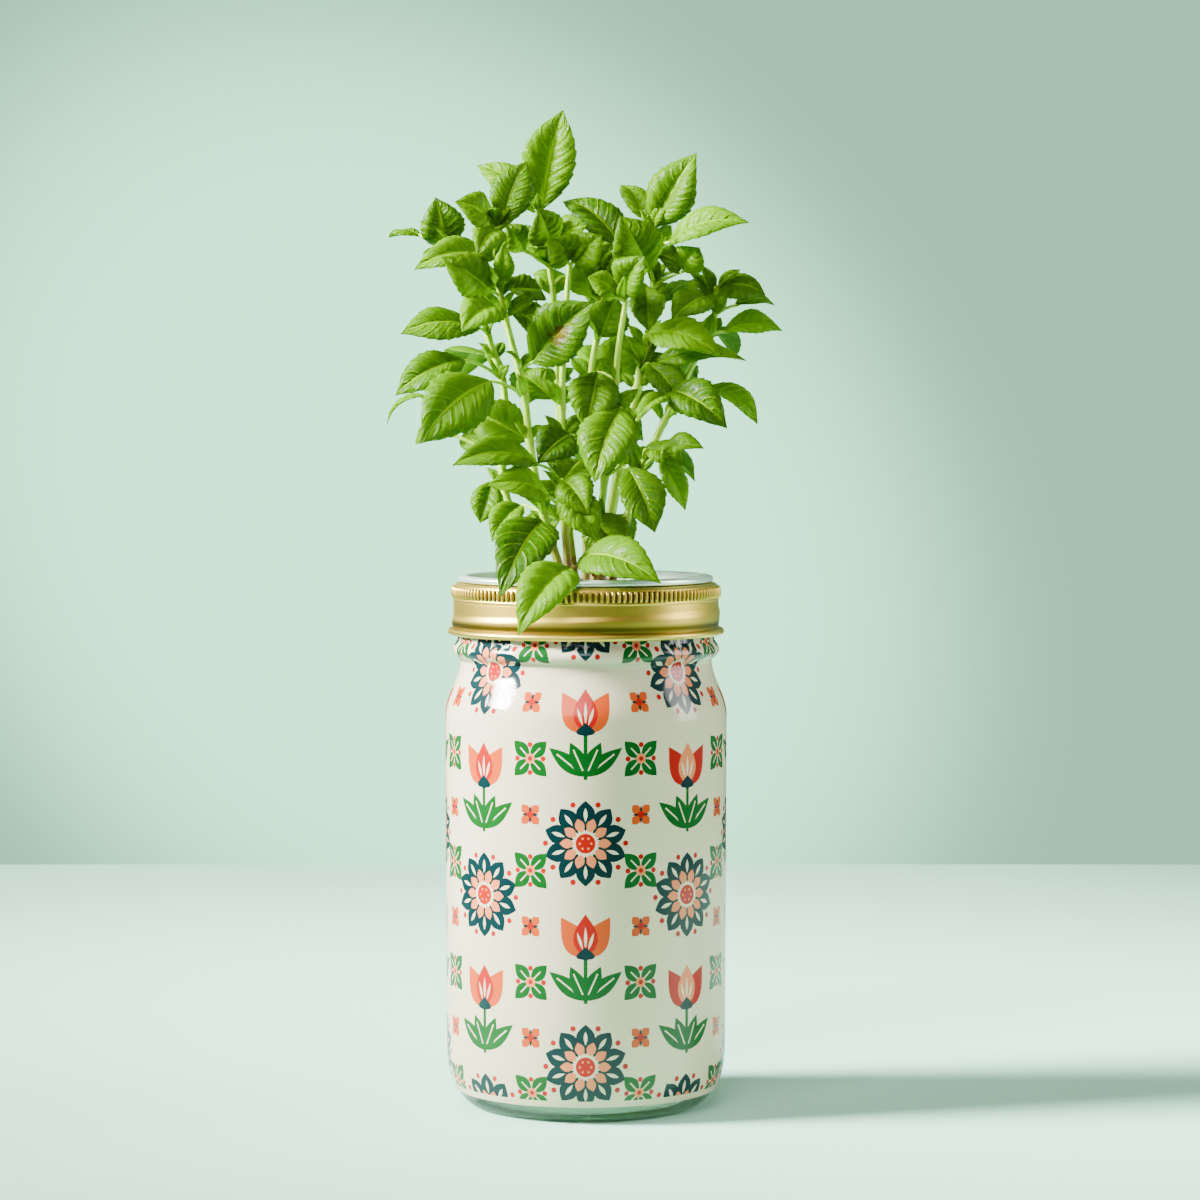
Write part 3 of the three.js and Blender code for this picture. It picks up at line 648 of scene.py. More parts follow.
def threaded(thread, low, high, inner, outer=math.inf):
    """A reshaping for turned that threads the profile between two heights and two radii."""
    def reshape(azimuth, radius, height):
        zone = (height > low) & (height < high) & (radius > inner) & (radius < outer)
        return radius + np.where(zone, thread_rise(azimuth, height, *thread), 0)
    return reshape


def glass_radius(z):
    """The outside of the jar from its heel to its neck."""
    if z < HEEL_HEIGHT:
        reach = BODY_RADIUS - BODY_TAPER - FOOT_OUTER
        return FOOT_OUTER + reach * math.sqrt(1 - (1 - z / HEEL_HEIGHT) ** 2)
    if z < SHOULDER_FOOT:
        return BODY_RADIUS - BODY_TAPER * (SHOULDER_FOOT - z) / (SHOULDER_FOOT - HEEL_HEIGHT)
    if z < WAIST_LEVEL:
        t = (z - SHOULDER_FOOT) / (WAIST_LEVEL - SHOULDER_FOOT)
        return WAIST_RADIUS + (BODY_RADIUS - WAIST_RADIUS) * (1 + math.cos(math.pi * t)) / 2
    half_bead = BEAD_HEIGHT / 2
    off_bead = z - WAIST_LEVEL - half_bead
    root = WAIST_RADIUS if off_bead < 0 else NECK_RADIUS
    swell = math.sin(math.pi / 2 * max(0.0, 1 - abs(off_bead) / half_bead)) ** BEAD_FULLNESS
    return root + (BEAD_RADIUS - root) * swell


def wall_levels(foot):
    """Heights at which the wall's curve needs a station, closer where it bends."""
    heel = HEEL_HEIGHT * (1 - np.cos(math.pi / 2 * np.linspace(0, 1, 15)))
    body = np.linspace(HEEL_HEIGHT, SHOULDER_FOOT, 24)[1:]
    shoulder = np.linspace(SHOULDER_FOOT, WAIST_LEVEL, 18)[1:]
    bead = np.linspace(WAIST_LEVEL, WAIST_LEVEL + BEAD_HEIGHT, 19)[1:]
    return [foot] + [z for z in (*heel, *body, *shoulder, *bead, FINISH_FOOT) if z > foot + 0.2]


def make_jar(glass):
    inner = BODY_RADIUS - GLASS_WALL
    lip_foot = JAR_HEIGHT - LIP_HEIGHT
    cove_top = JAR_FLOOR + JAR_COVE
    push_up = [(r, PUSH_UP * (1 - (r / FOOT_INNER) ** 3)) for r in np.linspace(0, FOOT_INNER, 9)]
    outside = [(glass_radius(z), z) for z in wall_levels(0)]
    finish = [(FINISH_RADIUS, z) for z in np.linspace(FINISH_FOOT + 0.5, lip_foot, 44)]
    lip = shifted(FINISH_RADIUS, JAR_HEIGHT, [(-0.2, -0.5), (-0.8, -0.08)])
    lip += shifted(MOUTH_RADIUS, JAR_HEIGHT, [(0.9, 0), (0.2, -0.35)])
    throat = [(MOUTH_RADIUS, z) for z in np.linspace(lip_foot, WAIST_LEVEL, 10)]
    shoulder = [(MOUTH_RADIUS + (inner - MOUTH_RADIUS) * (1 - math.cos(math.pi * t)) / 2,
                 WAIST_LEVEL + (SHOULDER_FOOT - WAIST_LEVEL) * t) for t in np.linspace(0, 1, 14)[1:]]
    bore = [(inner - BODY_TAPER * t, SHOULDER_FOOT + (cove_top - SHOULDER_FOOT) * t)
            for t in np.linspace(0, 1, 12)[1:]]
    cove = [(inner - BODY_TAPER - JAR_COVE * (1 - math.cos(t)), cove_top - JAR_COVE * math.sin(t))
            for t in np.linspace(0, math.pi / 2, 10)[1:]]
    floor = [(r, JAR_FLOOR + FLOOR_CROWN * (1 - r / FLOOR_CROWN_REACH))
             for r in np.linspace(FLOOR_FLAT, 0, 6)]
    profile = push_up + outside + finish + lip + throat + shoulder + bore + cove + floor
    thread = threaded(GLASS_THREAD, FINISH_FOOT, lip_foot, FINISH_RADIUS - 0.01)
    return build("jar", *turned(profile, segments=160, loop=False, reshape=thread), [glass])


def panel(outline, shapes, points):
    """Triangles of a flat outline with shapes drawn on it, and the last shape that covers each, or -1."""
    corners = [Vector(p) for p in points]
    faces = []
    for polygon in [outline, *shapes]:
        faces.append(list(range(len(corners), len(corners) + len(polygon))))
        corners += [Vector(p) for p in polygon]
    flat, _, triangles, _, _, inside = delaunay_2d_cdt(corners, [], faces, 1, 1e-6)
    kept = [(triangle, max(owners) - 1) for triangle, owners in zip(triangles, inside) if 0 in owners]
    return np.array([tuple(p) for p in flat]), *zip(*kept)


def sheet_panel(columns, rows, shapes):
    """The same for a rectangle with stations along and up it."""
    outline = [(x, rows[0]) for x in columns] + [(columns[-1], z) for z in rows[1:-1]]
    outline += [(x, rows[-1]) for x in columns[::-1]] + [(columns[0], z) for z in rows[-2:0:-1]]
    return panel(outline, shapes, [(x, z) for z in rows[1:-1] for x in columns[1:-1]])


def shell(flat, triangles, place, seam):
    """Two faces of a sheet from one flat pattern, with walls along its edges; the outer faces come first.

    place gives the outer and inner places of flat points; edges on the seam get no wall."""
    count = len(flat)
    faces = list(triangles)
    edges = {}
    for a, b, c in triangles:
        faces.append((c + count, b + count, a + count))
        edges.update(dict.fromkeys([(a, b), (b, c), (c, a)]))
    for a, b in edges:
        if (b, a) not in edges and not (seam(flat[a]) and seam(flat[b])):
            faces.append((b, a, a + count, b + count))
    return np.concatenate(place(flat)), faces


def out_from(x, y, reach, turn):
    """The point at a reach from another, in a direction in degrees."""
    aim = math.radians(turn)
    return x + reach * math.cos(aim), y + reach * math.sin(aim)


def petal(x, y, turn, length, width, fullness, steps=9):
    """A petal or leaf outline that starts at a point and runs out at an angle in degrees."""
    way = np.array(out_from(0, 0, 1, turn))
    off = np.array([-way[1], way[0]])
    share = np.linspace(0, 1, steps + 1)[:, None]
    half = width / 2 * np.sin(math.pi * share ** fullness)
    middle = np.array([x, y]) + way * length * share
    return [tuple(p) for p in (*(middle - off * half), *(middle + off * half)[-2:0:-1])]


def disc(x, y, radius, steps):
    return [(x + radius * math.cos(t), y + radius * math.sin(t)) for t in turns(steps)]


def stroke(points, width):
    """A line of even width through points, with square ends."""
    line = np.array(points, float)
    off = beside(line) * width / 2
    return [tuple(p) for p in (*(line - off), *(line + off)[::-1])]


def rosette(x, y):
    shapes = []
    for turn in range(18, 360, 36):
        shapes.append((TEAL, petal(*out_from(x, y, 4.0, turn), turn, 10.2, 6.4, 1.25)))
        shapes.append((CREAM, petal(*out_from(x, y, 7.2, turn), turn, 4.6, 1.3, 1.1, 6)))
    for turn in range(0, 360, 36):
        shapes.append((PEACH, petal(*out_from(x, y, 3.2, turn), turn, 5.4, 3.2, 1.2, 7)))
        shapes.append((CORAL, disc(*out_from(x, y, 13.4, turn), 0.95, 10)))
    shapes += [(CREAM, disc(x, y, 4.1, 24)), (CORAL, disc(x, y, 3.3, 20))]
    return shapes + [(PEACH, disc(*out_from(x, y, 1.9, turn), 0.42, 8)) for turn in range(0, 360, 60)]


def tulip(x, y, bloom, heart):
    leaf_foot, bloom_foot = y - 15, y - 0.5
    shapes = [(GREEN, stroke([(x, y - 16 + 2 * i) for i in range(9)], 1.3))]
    for turn, length in ((38, 15.5), (142, 15.5), (66, 12.5), (114, 12.5)):
        vein = [out_from(x, leaf_foot, length * t, turn) for t in (0.18, 0.4, 0.6, 0.78)]
        shapes.append((GREEN, petal(x, leaf_foot, turn, length, 5.4, 0.9, 10)))
        shapes.append((CREAM, stroke(vein, 0.5)))
    shapes += [(bloom, petal(x, bloom_foot, turn, 15.5, 8.6, 0.72, 11)) for turn in (58, 122)]
    shapes.append((heart, petal(x, bloom_foot, 90, 14.2, 8.2, 0.8, 11)))
    for turn, length in ((90, 7.5), (72, 6.0), (108, 6.0)):
        aim = math.radians(turn)
        foot = (x + 3 * math.cos(aim), y + 2 * math.sin(aim))
        shapes.append((CREAM, petal(*foot, turn, length, 1.0, 1.0, 6)))
    return shapes + [(TEAL, petal(x, y - 1.6, 90, 4.4, 6.2, 0.55, 8))]


def small_flower(x, y, ink, heart):
    shapes = [(ink, petal(x, y, turn, 4.4, 3.1, 1.25, 7)) for turn in range(45, 360, 90)]
    shapes += [(TEAL, petal(x, y, turn, 3.0, 0.9, 1.0, 5)) for turn in range(0, 360, 90)]
    return shapes + [(heart, disc(x, y, 1.15, 12))]


def leaf_cross(x, y):
    shapes = []
    for turn in range(45, 360, 90):
        vein = [out_from(x, y, reach, turn) for reach in (1.6, 3.4, 5.0)]
        shapes.append((GREEN, petal(x, y, turn, 8.2, 4.8, 1.0)))
        shapes.append((CREAM, stroke(vein, 0.45)))
        shapes.append((CORAL, disc(*out_from(x, y, 4.6, turn - 45), 0.9, 10)))
    return shapes + [(PEACH, disc(x, y, 1.7, 16)), (CORAL, disc(x, y, 0.8, 10))]


def trimmed(outline, level):
    """The part of an outline above a level."""
    kept = []
    for (ax, ay), (bx, by) in zip(outline, outline[1:] + outline[:1]):
        if ay >= level:
            kept.append((ax, ay))
        if (ay - level) * (by - level) < 0:
            kept.append((ax + (bx - ax) * (level - ay) / (by - ay), level))
    return kept


def film_print():
    """An all-over half-drop repeat of rosettes, tulips and small flowers."""
    shapes = []
    pitch = FILM_LENGTH / PRINT_COLUMNS
    half = PRINT_COLUMNS // 2
    for column in range(-half, half + 1):
        x = column * pitch
        for row in range(-1, 6):
            y = PRINT_START + PRINT_DROP * row + (PRINT_DROP / 2 if column % 2 else 0.0)
            if (row + column) % 2 == 0:
                shapes += rosette(x, y)
            else:
                shapes += tulip(x, y, CORAL, PEACH) if column % 4 in (1, 2) else tulip(x, y, ORANGE, CORAL)
    for column in range(-half, half):
        x = (column + 0.5) * pitch
        for row in range(-1, 10):
            y = PRINT_START + PRINT_DROP / 2 * row + PRINT_DROP / 4
            shapes += leaf_cross(x, y) if row % 2 else small_flower(x, y, ORANGE, CORAL)
    shapes = [(ink, trimmed(outline, PRINT_FOOT)) for ink, outline in shapes
              if max(y for _, y in outline) > PRINT_FOOT + 0.3]
    return [(ink, outline) for ink, outline in shapes if min(y for _, y in outline) < FINISH_FOOT - 0.2]


def make_film(inks):
    drawn = film_print()
    edge = FILM_LENGTH / 2
    columns = np.linspace(-edge, edge, 145)
    flat, triangles, top = sheet_panel(columns, wall_levels(FILM_FOOT), [outline for _, outline in drawn])

    def place(points):
        along, level = points.T
        turn = along / FILM_OUTER + math.radians(FRONT)
        backed = np.array([glass_radius(z) for z in level]) + FILM_BACK
        return [around(radius, turn, level) for radius in (backed + FILM_THICKNESS, backed)]

    corners, faces = shell(flat, triangles, place, lambda p: abs(p[0]) > edge - SEAM_REACH)
    slots = [drawn[i][0] if i >= 0 else CREAM for i in top] + [CREAM] * (len(faces) - len(top))
    film = build("film", corners, faces, inks, slots, merge=SEAM_MERGE)
    film.data.shade_smooth()
    normals = []
    for vertex in film.data.vertices:
        x, y, z = vertex.co / MM
        radius = math.hypot(x, y)
        slope = (glass_radius(z + 0.05) - glass_radius(z - 0.05)) / 0.1
        outward = Vector((x, y, -slope * radius)).normalized()
        outer = radius > glass_radius(z) + FILM_BACK + FILM_THICKNESS / 2
        normals.append(outward if outer else -outward)
    film.data.normals_split_custom_set_from_vertices(normals)
    return film


def make_seal(rubber):
    inner, outer = MOUTH_RADIUS + SEAL_MARGIN, FINISH_RADIUS - SEAL_MARGIN
    corners = [(outer, SEAL_FOOT), (outer, SEAL_TOP), (inner, SEAL_TOP), (inner, SEAL_FOOT)]
    profile = rounded([(*corner, SEAL_EASE) for corner in corners])
    return build("seal", *turned(profile, segments=128), [rubber])


def make_band(gold):
    """The screw band: flange, rounded shoulder, plain ring for the knurl, threaded skirt and curl."""
    skirt = np.linspace(SKIRT_FOOT, SKIRT_TOP, 40)
    skirt_inner = SKIRT_RADIUS - BAND_WALL
    flange_foot = BAND_TOP - BAND_WALL
    profile = shifted(CURL_RADIUS, BAND_FOOT, [
        (-1.2, 0.35), (-0.75, 0), (-0.3, 0.25), (-0.03, 0.75),
        (0, 1.1), (-0.08, 1.5), (-0.4, 1.95), (-0.95, 2.2)])
    profile += shifted(SKIRT_RADIUS, BAND_FOOT, [(0.35, 2.35), (0.08, 2.5)])
    profile += [(SKIRT_RADIUS, z) for z in skirt]
    profile += shifted(SKIRT_RADIUS, KNURL_FOOT, [(-0.1, -0.8), (0.1, -0.35)]) + [(KNURL_ROOT, KNURL_FOOT)]
    profile += shifted(KNURL_ROOT, BAND_TOP, [
        (0, -3.8), (0, -2.2), (-0.05, -1.5), (-0.3, -0.85), (-0.75, -0.35), (-1.4, -0.08), (-2.1, 0)])
    profile += shifted(BAND_OPENING, BAND_TOP, [(0.25, 0), (0, -0.2)])
    profile += shifted(BAND_OPENING, flange_foot, [(0, 0.15), (0.2, 0)])
    profile += shifted(KNURL_ROOT - BAND_WALL, flange_foot, [(-0.6, 0), (0, -0.9)])
    profile += [(KNURL_ROOT - BAND_WALL, KNURL_FOOT + 0.3)] + [(skirt_inner, z) for z in skirt[::-1]]
    profile += shifted(skirt_inner, BAND_FOOT, [(0.7, 1.7), (1.0, 0.8)])
    thread = threaded(BAND_THREAD, SKIRT_FOOT - 0.1, SKIRT_TOP + 0.1, skirt_inner - 0.1, SKIRT_RADIUS + 0.01)
    return build("band", *turned(profile, segments=256, reshape=thread), [gold])


def geometry_tree(name, sizes):
    """The nodes of a geometry tree with an input for each size, and its input wires."""
    tree = bpy.data.node_groups.new(name, "GeometryNodeTree")
    for end in ("INPUT", "OUTPUT"):
        tree.interface.new_socket("Geometry", in_out=end, socket_type="NodeSocketGeometry")
    for label, size in sizes.items():
        kind = "NodeSocketInt" if isinstance(size, int) else "NodeSocketFloat"
        tree.interface.new_socket(label, in_out="INPUT", socket_type=kind)
    nodes = Nodes(tree)
    return nodes, {s.name: Wire(s) for s in nodes.node("NodeGroupInput").outputs if s.name}


def grown(maker, nodes, copies, material, sizes):
    """Ends a geometry tree, runs it on an object with its inputs set to sizes and keeps the mesh."""
    real = nodes.wire("GeometryNodeRealizeInstances", Geometry=copies)
    painted = nodes.wire("GeometryNodeSetMaterial", Geometry=real, Material=material)
    nodes.node("NodeGroupOutput", Geometry=painted)
    modifier = maker.modifiers.new("grow", "NODES")
    modifier.node_group = nodes.tree
    for item in nodes.tree.interface.items_tree:
        if item.in_out == "INPUT" and item.name in sizes:
            modifier[item.identifier] = sizes[item.name]
    bpy.context.view_layer.update()
    seen = maker.evaluated_get(bpy.context.evaluated_depsgraph_get())
    mesh = bpy.data.meshes.new_from_object(seen)
    maker.modifiers.remove(modifier)
    maker.data = mesh
    return maker


def make_knurl(gold):
    """Upright half-round ribs round the band's shoulder."""
    sizes = {"Ribs": KNURL_RIBS, "Radius": KNURL_ROOT * MM, "Level": (KNURL_FOOT + KNURL_TOP) / 2 * MM,
             "Height": (KNURL_TOP - KNURL_FOOT) * MM, "Width": RIB_WIDTH * MM, "Depth": KNURL_DEPTH * MM}
    n, given = geometry_tree("knurl_ribs", sizes)
    ball = n.wire("GeometryNodeMeshUVSphere", Segments=12, Rings=9, Radius=1.0)
    x, y, z = n.split(n.wire("GeometryNodeInputPosition"))
    squared = maths("SIGN", z) * abs(z) ** 0.5
    full = n.vector(x * given["Depth"], y * given["Width"] * 0.5, squared * given["Height"] * 0.5)
    rib = n.wire("GeometryNodeSetPosition", Geometry=ball, Position=full)
    rib = n.wire("GeometryNodeSetShadeSmooth", Geometry=rib, Shade_Smooth=True)
    turn = n.wire("GeometryNodeInputIndex") * math.tau / given["Ribs"]
    x, y = (maths(operation, turn) * given["Radius"] for operation in ("COSINE", "SINE"))
    line = n.wire("GeometryNodeMeshLine", Count=given["Ribs"])
    ring = n.wire("GeometryNodeSetPosition", Geometry=line, Position=n.vector(x, y, given["Level"]))
    ribs = n.wire("GeometryNodeInstanceOnPoints", Points=ring, Instance=rib, Rotation=n.vector(z=turn))
    return grown(placed("knurl", bpy.data.meshes.new("knurl")), n, ribs, gold, sizes)


def slot_outline(centre, low, high, steps=7):
    """An upright slot with round ends, in the flat."""
    half = SLOT_WIDTH / 2
    ends = np.linspace(0, math.pi, steps + 1)
    top = [(centre + half * math.cos(t), high - half + half * math.sin(t)) for t in ends]
    foot = [(centre - half * math.cos(t), low + half - half * math.sin(t)) for t in ends]
    return top + foot


def pierced(pattern, place, seam):
    """Corners and faces of a sheet with the shapes on its pattern cut out."""
    flat, triangles, top = pattern
    return shell(flat, [triangle for triangle, shape in zip(triangles, top) if shape < 0], place, seam)


def make_cup(steel):
    """A pressed steel net cup: slotted wall, slotted floor and a rolled rim."""
    length = math.tau * CUP_TOP_RADIUS
    pitch = length / WALL_SLOTS
    taper = (CUP_TOP_RADIUS - CUP_FLOOR_RADIUS) / (CUP_SEAT - CUP_FLOOR)
    bend_top = CUP_FLOOR + CUP_CORNER
    flat_radius = CUP_FLOOR_RADIUS + taper * CUP_CORNER - CUP_CORNER

    def wall(points):
        along, z = points.T
        bend = (z - CUP_FLOOR + CUP_CORNER) / (2 * CUP_CORNER) * math.pi / 2
        both = []
        for inset in (0.0, CUP_WALL):
            radius = np.where(z < bend_top, flat_radius + (CUP_CORNER - inset) * np.sin(bend),
                              CUP_FLOOR_RADIUS + taper * (z - CUP_FLOOR) - inset)
            height = np.where(z < bend_top, bend_top - (CUP_CORNER - inset) * np.cos(bend), z)
            both.append(around(radius, along / CUP_TOP_RADIUS, height))
        return both

    def floor(points):
        under = np.insert(points, 2, CUP_FLOOR, axis=1)
        return under + np.array([0, 0, CUP_WALL]), under

    rows = [*np.linspace(CUP_FLOOR - CUP_CORNER, bend_top, 9),
            *np.linspace(bend_top, CUP_SEAT - 0.6, 26)[1:]]
    holes = [slot_outline(i * pitch, SLOT_FOOT, SLOT_TOP) for i in range(-1, WALL_SLOTS + 1)]
    side = pierced(sheet_panel(np.linspace(0, length, 161), rows, holes), wall,
                   lambda p: p[0] < SEAM_REACH or p[0] > length - SEAM_REACH)
    thick, wide = WICK_HOLE
    cuts = [[(-thick, -wide), (thick, -wide), (thick, wide), (-thick, wide)]]
    for i in range(FLOOR_SLOTS):
        turn = Matrix.Rotation(math.tau * (i + 0.5) / FLOOR_SLOTS - math.pi / 2, 2)
        cuts.append([turn @ Vector(p) for p in slot_outline(0.0, *FLOOR_SLOT_ENDS)])
    inside = [p for reach in np.linspace(4, 30, 8) for p in disc(0, 0, reach, steps=48)]
    base = pierced(panel(disc(0, 0, flat_radius, steps=160), cuts, inside), floor, lambda p: False)
    rim_foot = CUP_SEAT - 1.2
    rim = rounded([
        (CUP_TOP_RADIUS, rim_foot, 0), (CUP_TOP_RADIUS + 0.1, CUP_SEAT, 0.7),
        (CUP_RIM_OUTER - 0.1, CUP_SEAT, 0.8), (CUP_RIM_OUTER, CUP_RIM_TOP - 0.6, 1.0),
        (CUP_RIM_OUTER - 1.3, CUP_RIM_TOP, 1.0), (CUP_RIM_INNER + 0.7, CUP_RIM_TOP - 0.1, 0.9),
        (CUP_RIM_INNER - 0.8, CUP_SEAT + 0.7, 1.2), (CUP_TOP_RADIUS - CUP_WALL, rim_foot, 0.5)], steps=8)
    return build("cup", *merged(side, base, turned(rim, segments=192)), [steel], merge=SEAM_MERGE)


def crown(shares, segments, lift=0.0):
    """Rings of places on the growing medium's lumpy top, at shares of its radius."""
    reach, spin = MEDIUM_RADIUS * shares[:, None], turns(segments)
    x, y = reach * np.cos(spin), reach * np.sin(spin)
    share = np.clip(np.hypot(x, y) / MEDIUM_RADIUS, 0, 1)
    dome = MEDIUM_EDGE + MEDIUM_CROWN * (1 - share ** 2.4)
    lumps = (0.35 * np.sin(0.9 * x + 1.3 * np.sin(0.5 * y)) * np.cos(0.8 * y + 0.4)
             + 0.22 * np.sin(2.1 * x - 1.1 * y) + 0.16 * np.cos(3.3 * y + 1.7 * x))
    return np.stack([x, y, dome + lumps * (1 - share ** 6) - 0.3 + lift], -1)


def make_medium(brown):
    spin = turns(128)
    rings = [*crown(np.linspace(0, 1, 40), len(spin))]
    for t in np.linspace(0, 1, 16)[1:]:
        radius = MEDIUM_RADIUS + (MEDIUM_FOOT_RADIUS - MEDIUM_RADIUS) * t + 0.12 * np.sin(9 * spin + 14 * t)
        rings.append(around(radius, spin, MEDIUM_EDGE + (MEDIUM_FOOT - MEDIUM_EDGE) * t))
    rings.append(around(0.0, spin, MEDIUM_FOOT))
    return build("medium", np.concatenate(rings), ring_faces(len(rings), len(spin)), [brown])


def make_fibres(fibre):
    """Short bent fibres scattered over the growing medium."""
    rings = crown(np.linspace(0.0, 0.93, 12), segments=48, lift=0.1)
    bed = build("fibres", np.concatenate(rings), ring_faces(*rings.shape[:2]), [fibre])
    for face in bed.data.polygons:
        if face.normal.z < 0:
            face.flip()
    sizes = {"Density": FIBRES_PER_SQUARE_METRE, "Length": FIBRE_LENGTH * MM, "Thickness": FIBRE_RADIUS * MM,
             "Seed": FIBRE_SEED}
    n, given = geometry_tree("coir_fibres", sizes)
    spots = n.wire("GeometryNodeDistributePointsOnFaces", Mesh=given["Geometry"], Density=given["Density"],
                   Seed=given["Seed"])
    half = given["Length"] * 0.5
    bow = n.wire("GeometryNodeCurveQuadraticBezier", Resolution=6, Start=n.vector(0.0 - half),
                 Middle=n.vector(y=half * 0.5, z=half * 0.35), End=n.vector(half))
    section = n.wire("GeometryNodeCurvePrimitiveCircle", Resolution=4, Radius=given["Thickness"])
    strand = n.wire("GeometryNodeCurveToMesh", Curve=bow, Profile_Curve=section, Fill_Caps=True)
    spin = n.wire("FunctionNodeRandomValue", {"data_type": "FLOAT_VECTOR"}, "Value",
                  Min=(-0.25, -0.25, 0.0), Max=(0.25, 0.25, math.tau), Seed=given["Seed"])
    size = n.wire("FunctionNodeRandomValue", {"data_type": "FLOAT"}, "Value_001",
                  Min_001=0.4, Max_001=1.2, Seed=given["Seed"] + 1)
    strands = n.wire("GeometryNodeInstanceOnPoints", Points=spots, Instance=strand, Rotation=spin,
                     Scale=size)
    return grown(bed, n, strands, fibre, sizes)


def make_wick(felt):
    """A felt strip through the cup's floor, its head folded flat on the floor, and its length."""
    head = CUP_FLOOR + CUP_WALL + WICK_GAP + WICK_HALF_THICKNESS
    bend_foot = head - WICK_BEND
    path = [(0.0, z) for z in np.linspace(WICK_FOOT, bend_foot, 60)]
    path += [(WICK_BEND * (1 - math.cos(t)), bend_foot + WICK_BEND * math.sin(t))
             for t in np.linspace(0, math.pi / 2, 9)[1:]]
    path += [(x, head) for x in np.linspace(WICK_BEND, WICK_FLAP, 8)[1:]]
    line = np.array(path)
    spin = turns(32)
    thick = WICK_HALF_THICKNESS * np.copysign(np.abs(np.sin(spin)) ** 0.5, np.sin(spin))
    wide = WICK_HALF_WIDTH * np.copysign(np.abs(np.cos(spin)) ** 0.25, np.cos(spin))
    station = np.arange(len(line))[:, None]
    fuzzy = thick * (0.94 + 0.06 * np.sin(1.7 * station + 5 * wide))
    x, z = line.T[..., None] + beside(line).T[..., None] * fuzzy
    y = wide * (0.985 + 0.015 * np.sin(0.9 * station))
    strip = build("wick_strip", np.stack([x, y, z], -1).reshape(-1, 3),
                  ring_faces(len(line), len(spin), caps=True), [felt])
    return strip, float(np.linalg.norm(np.diff(line, axis=0), axis=1).sum())


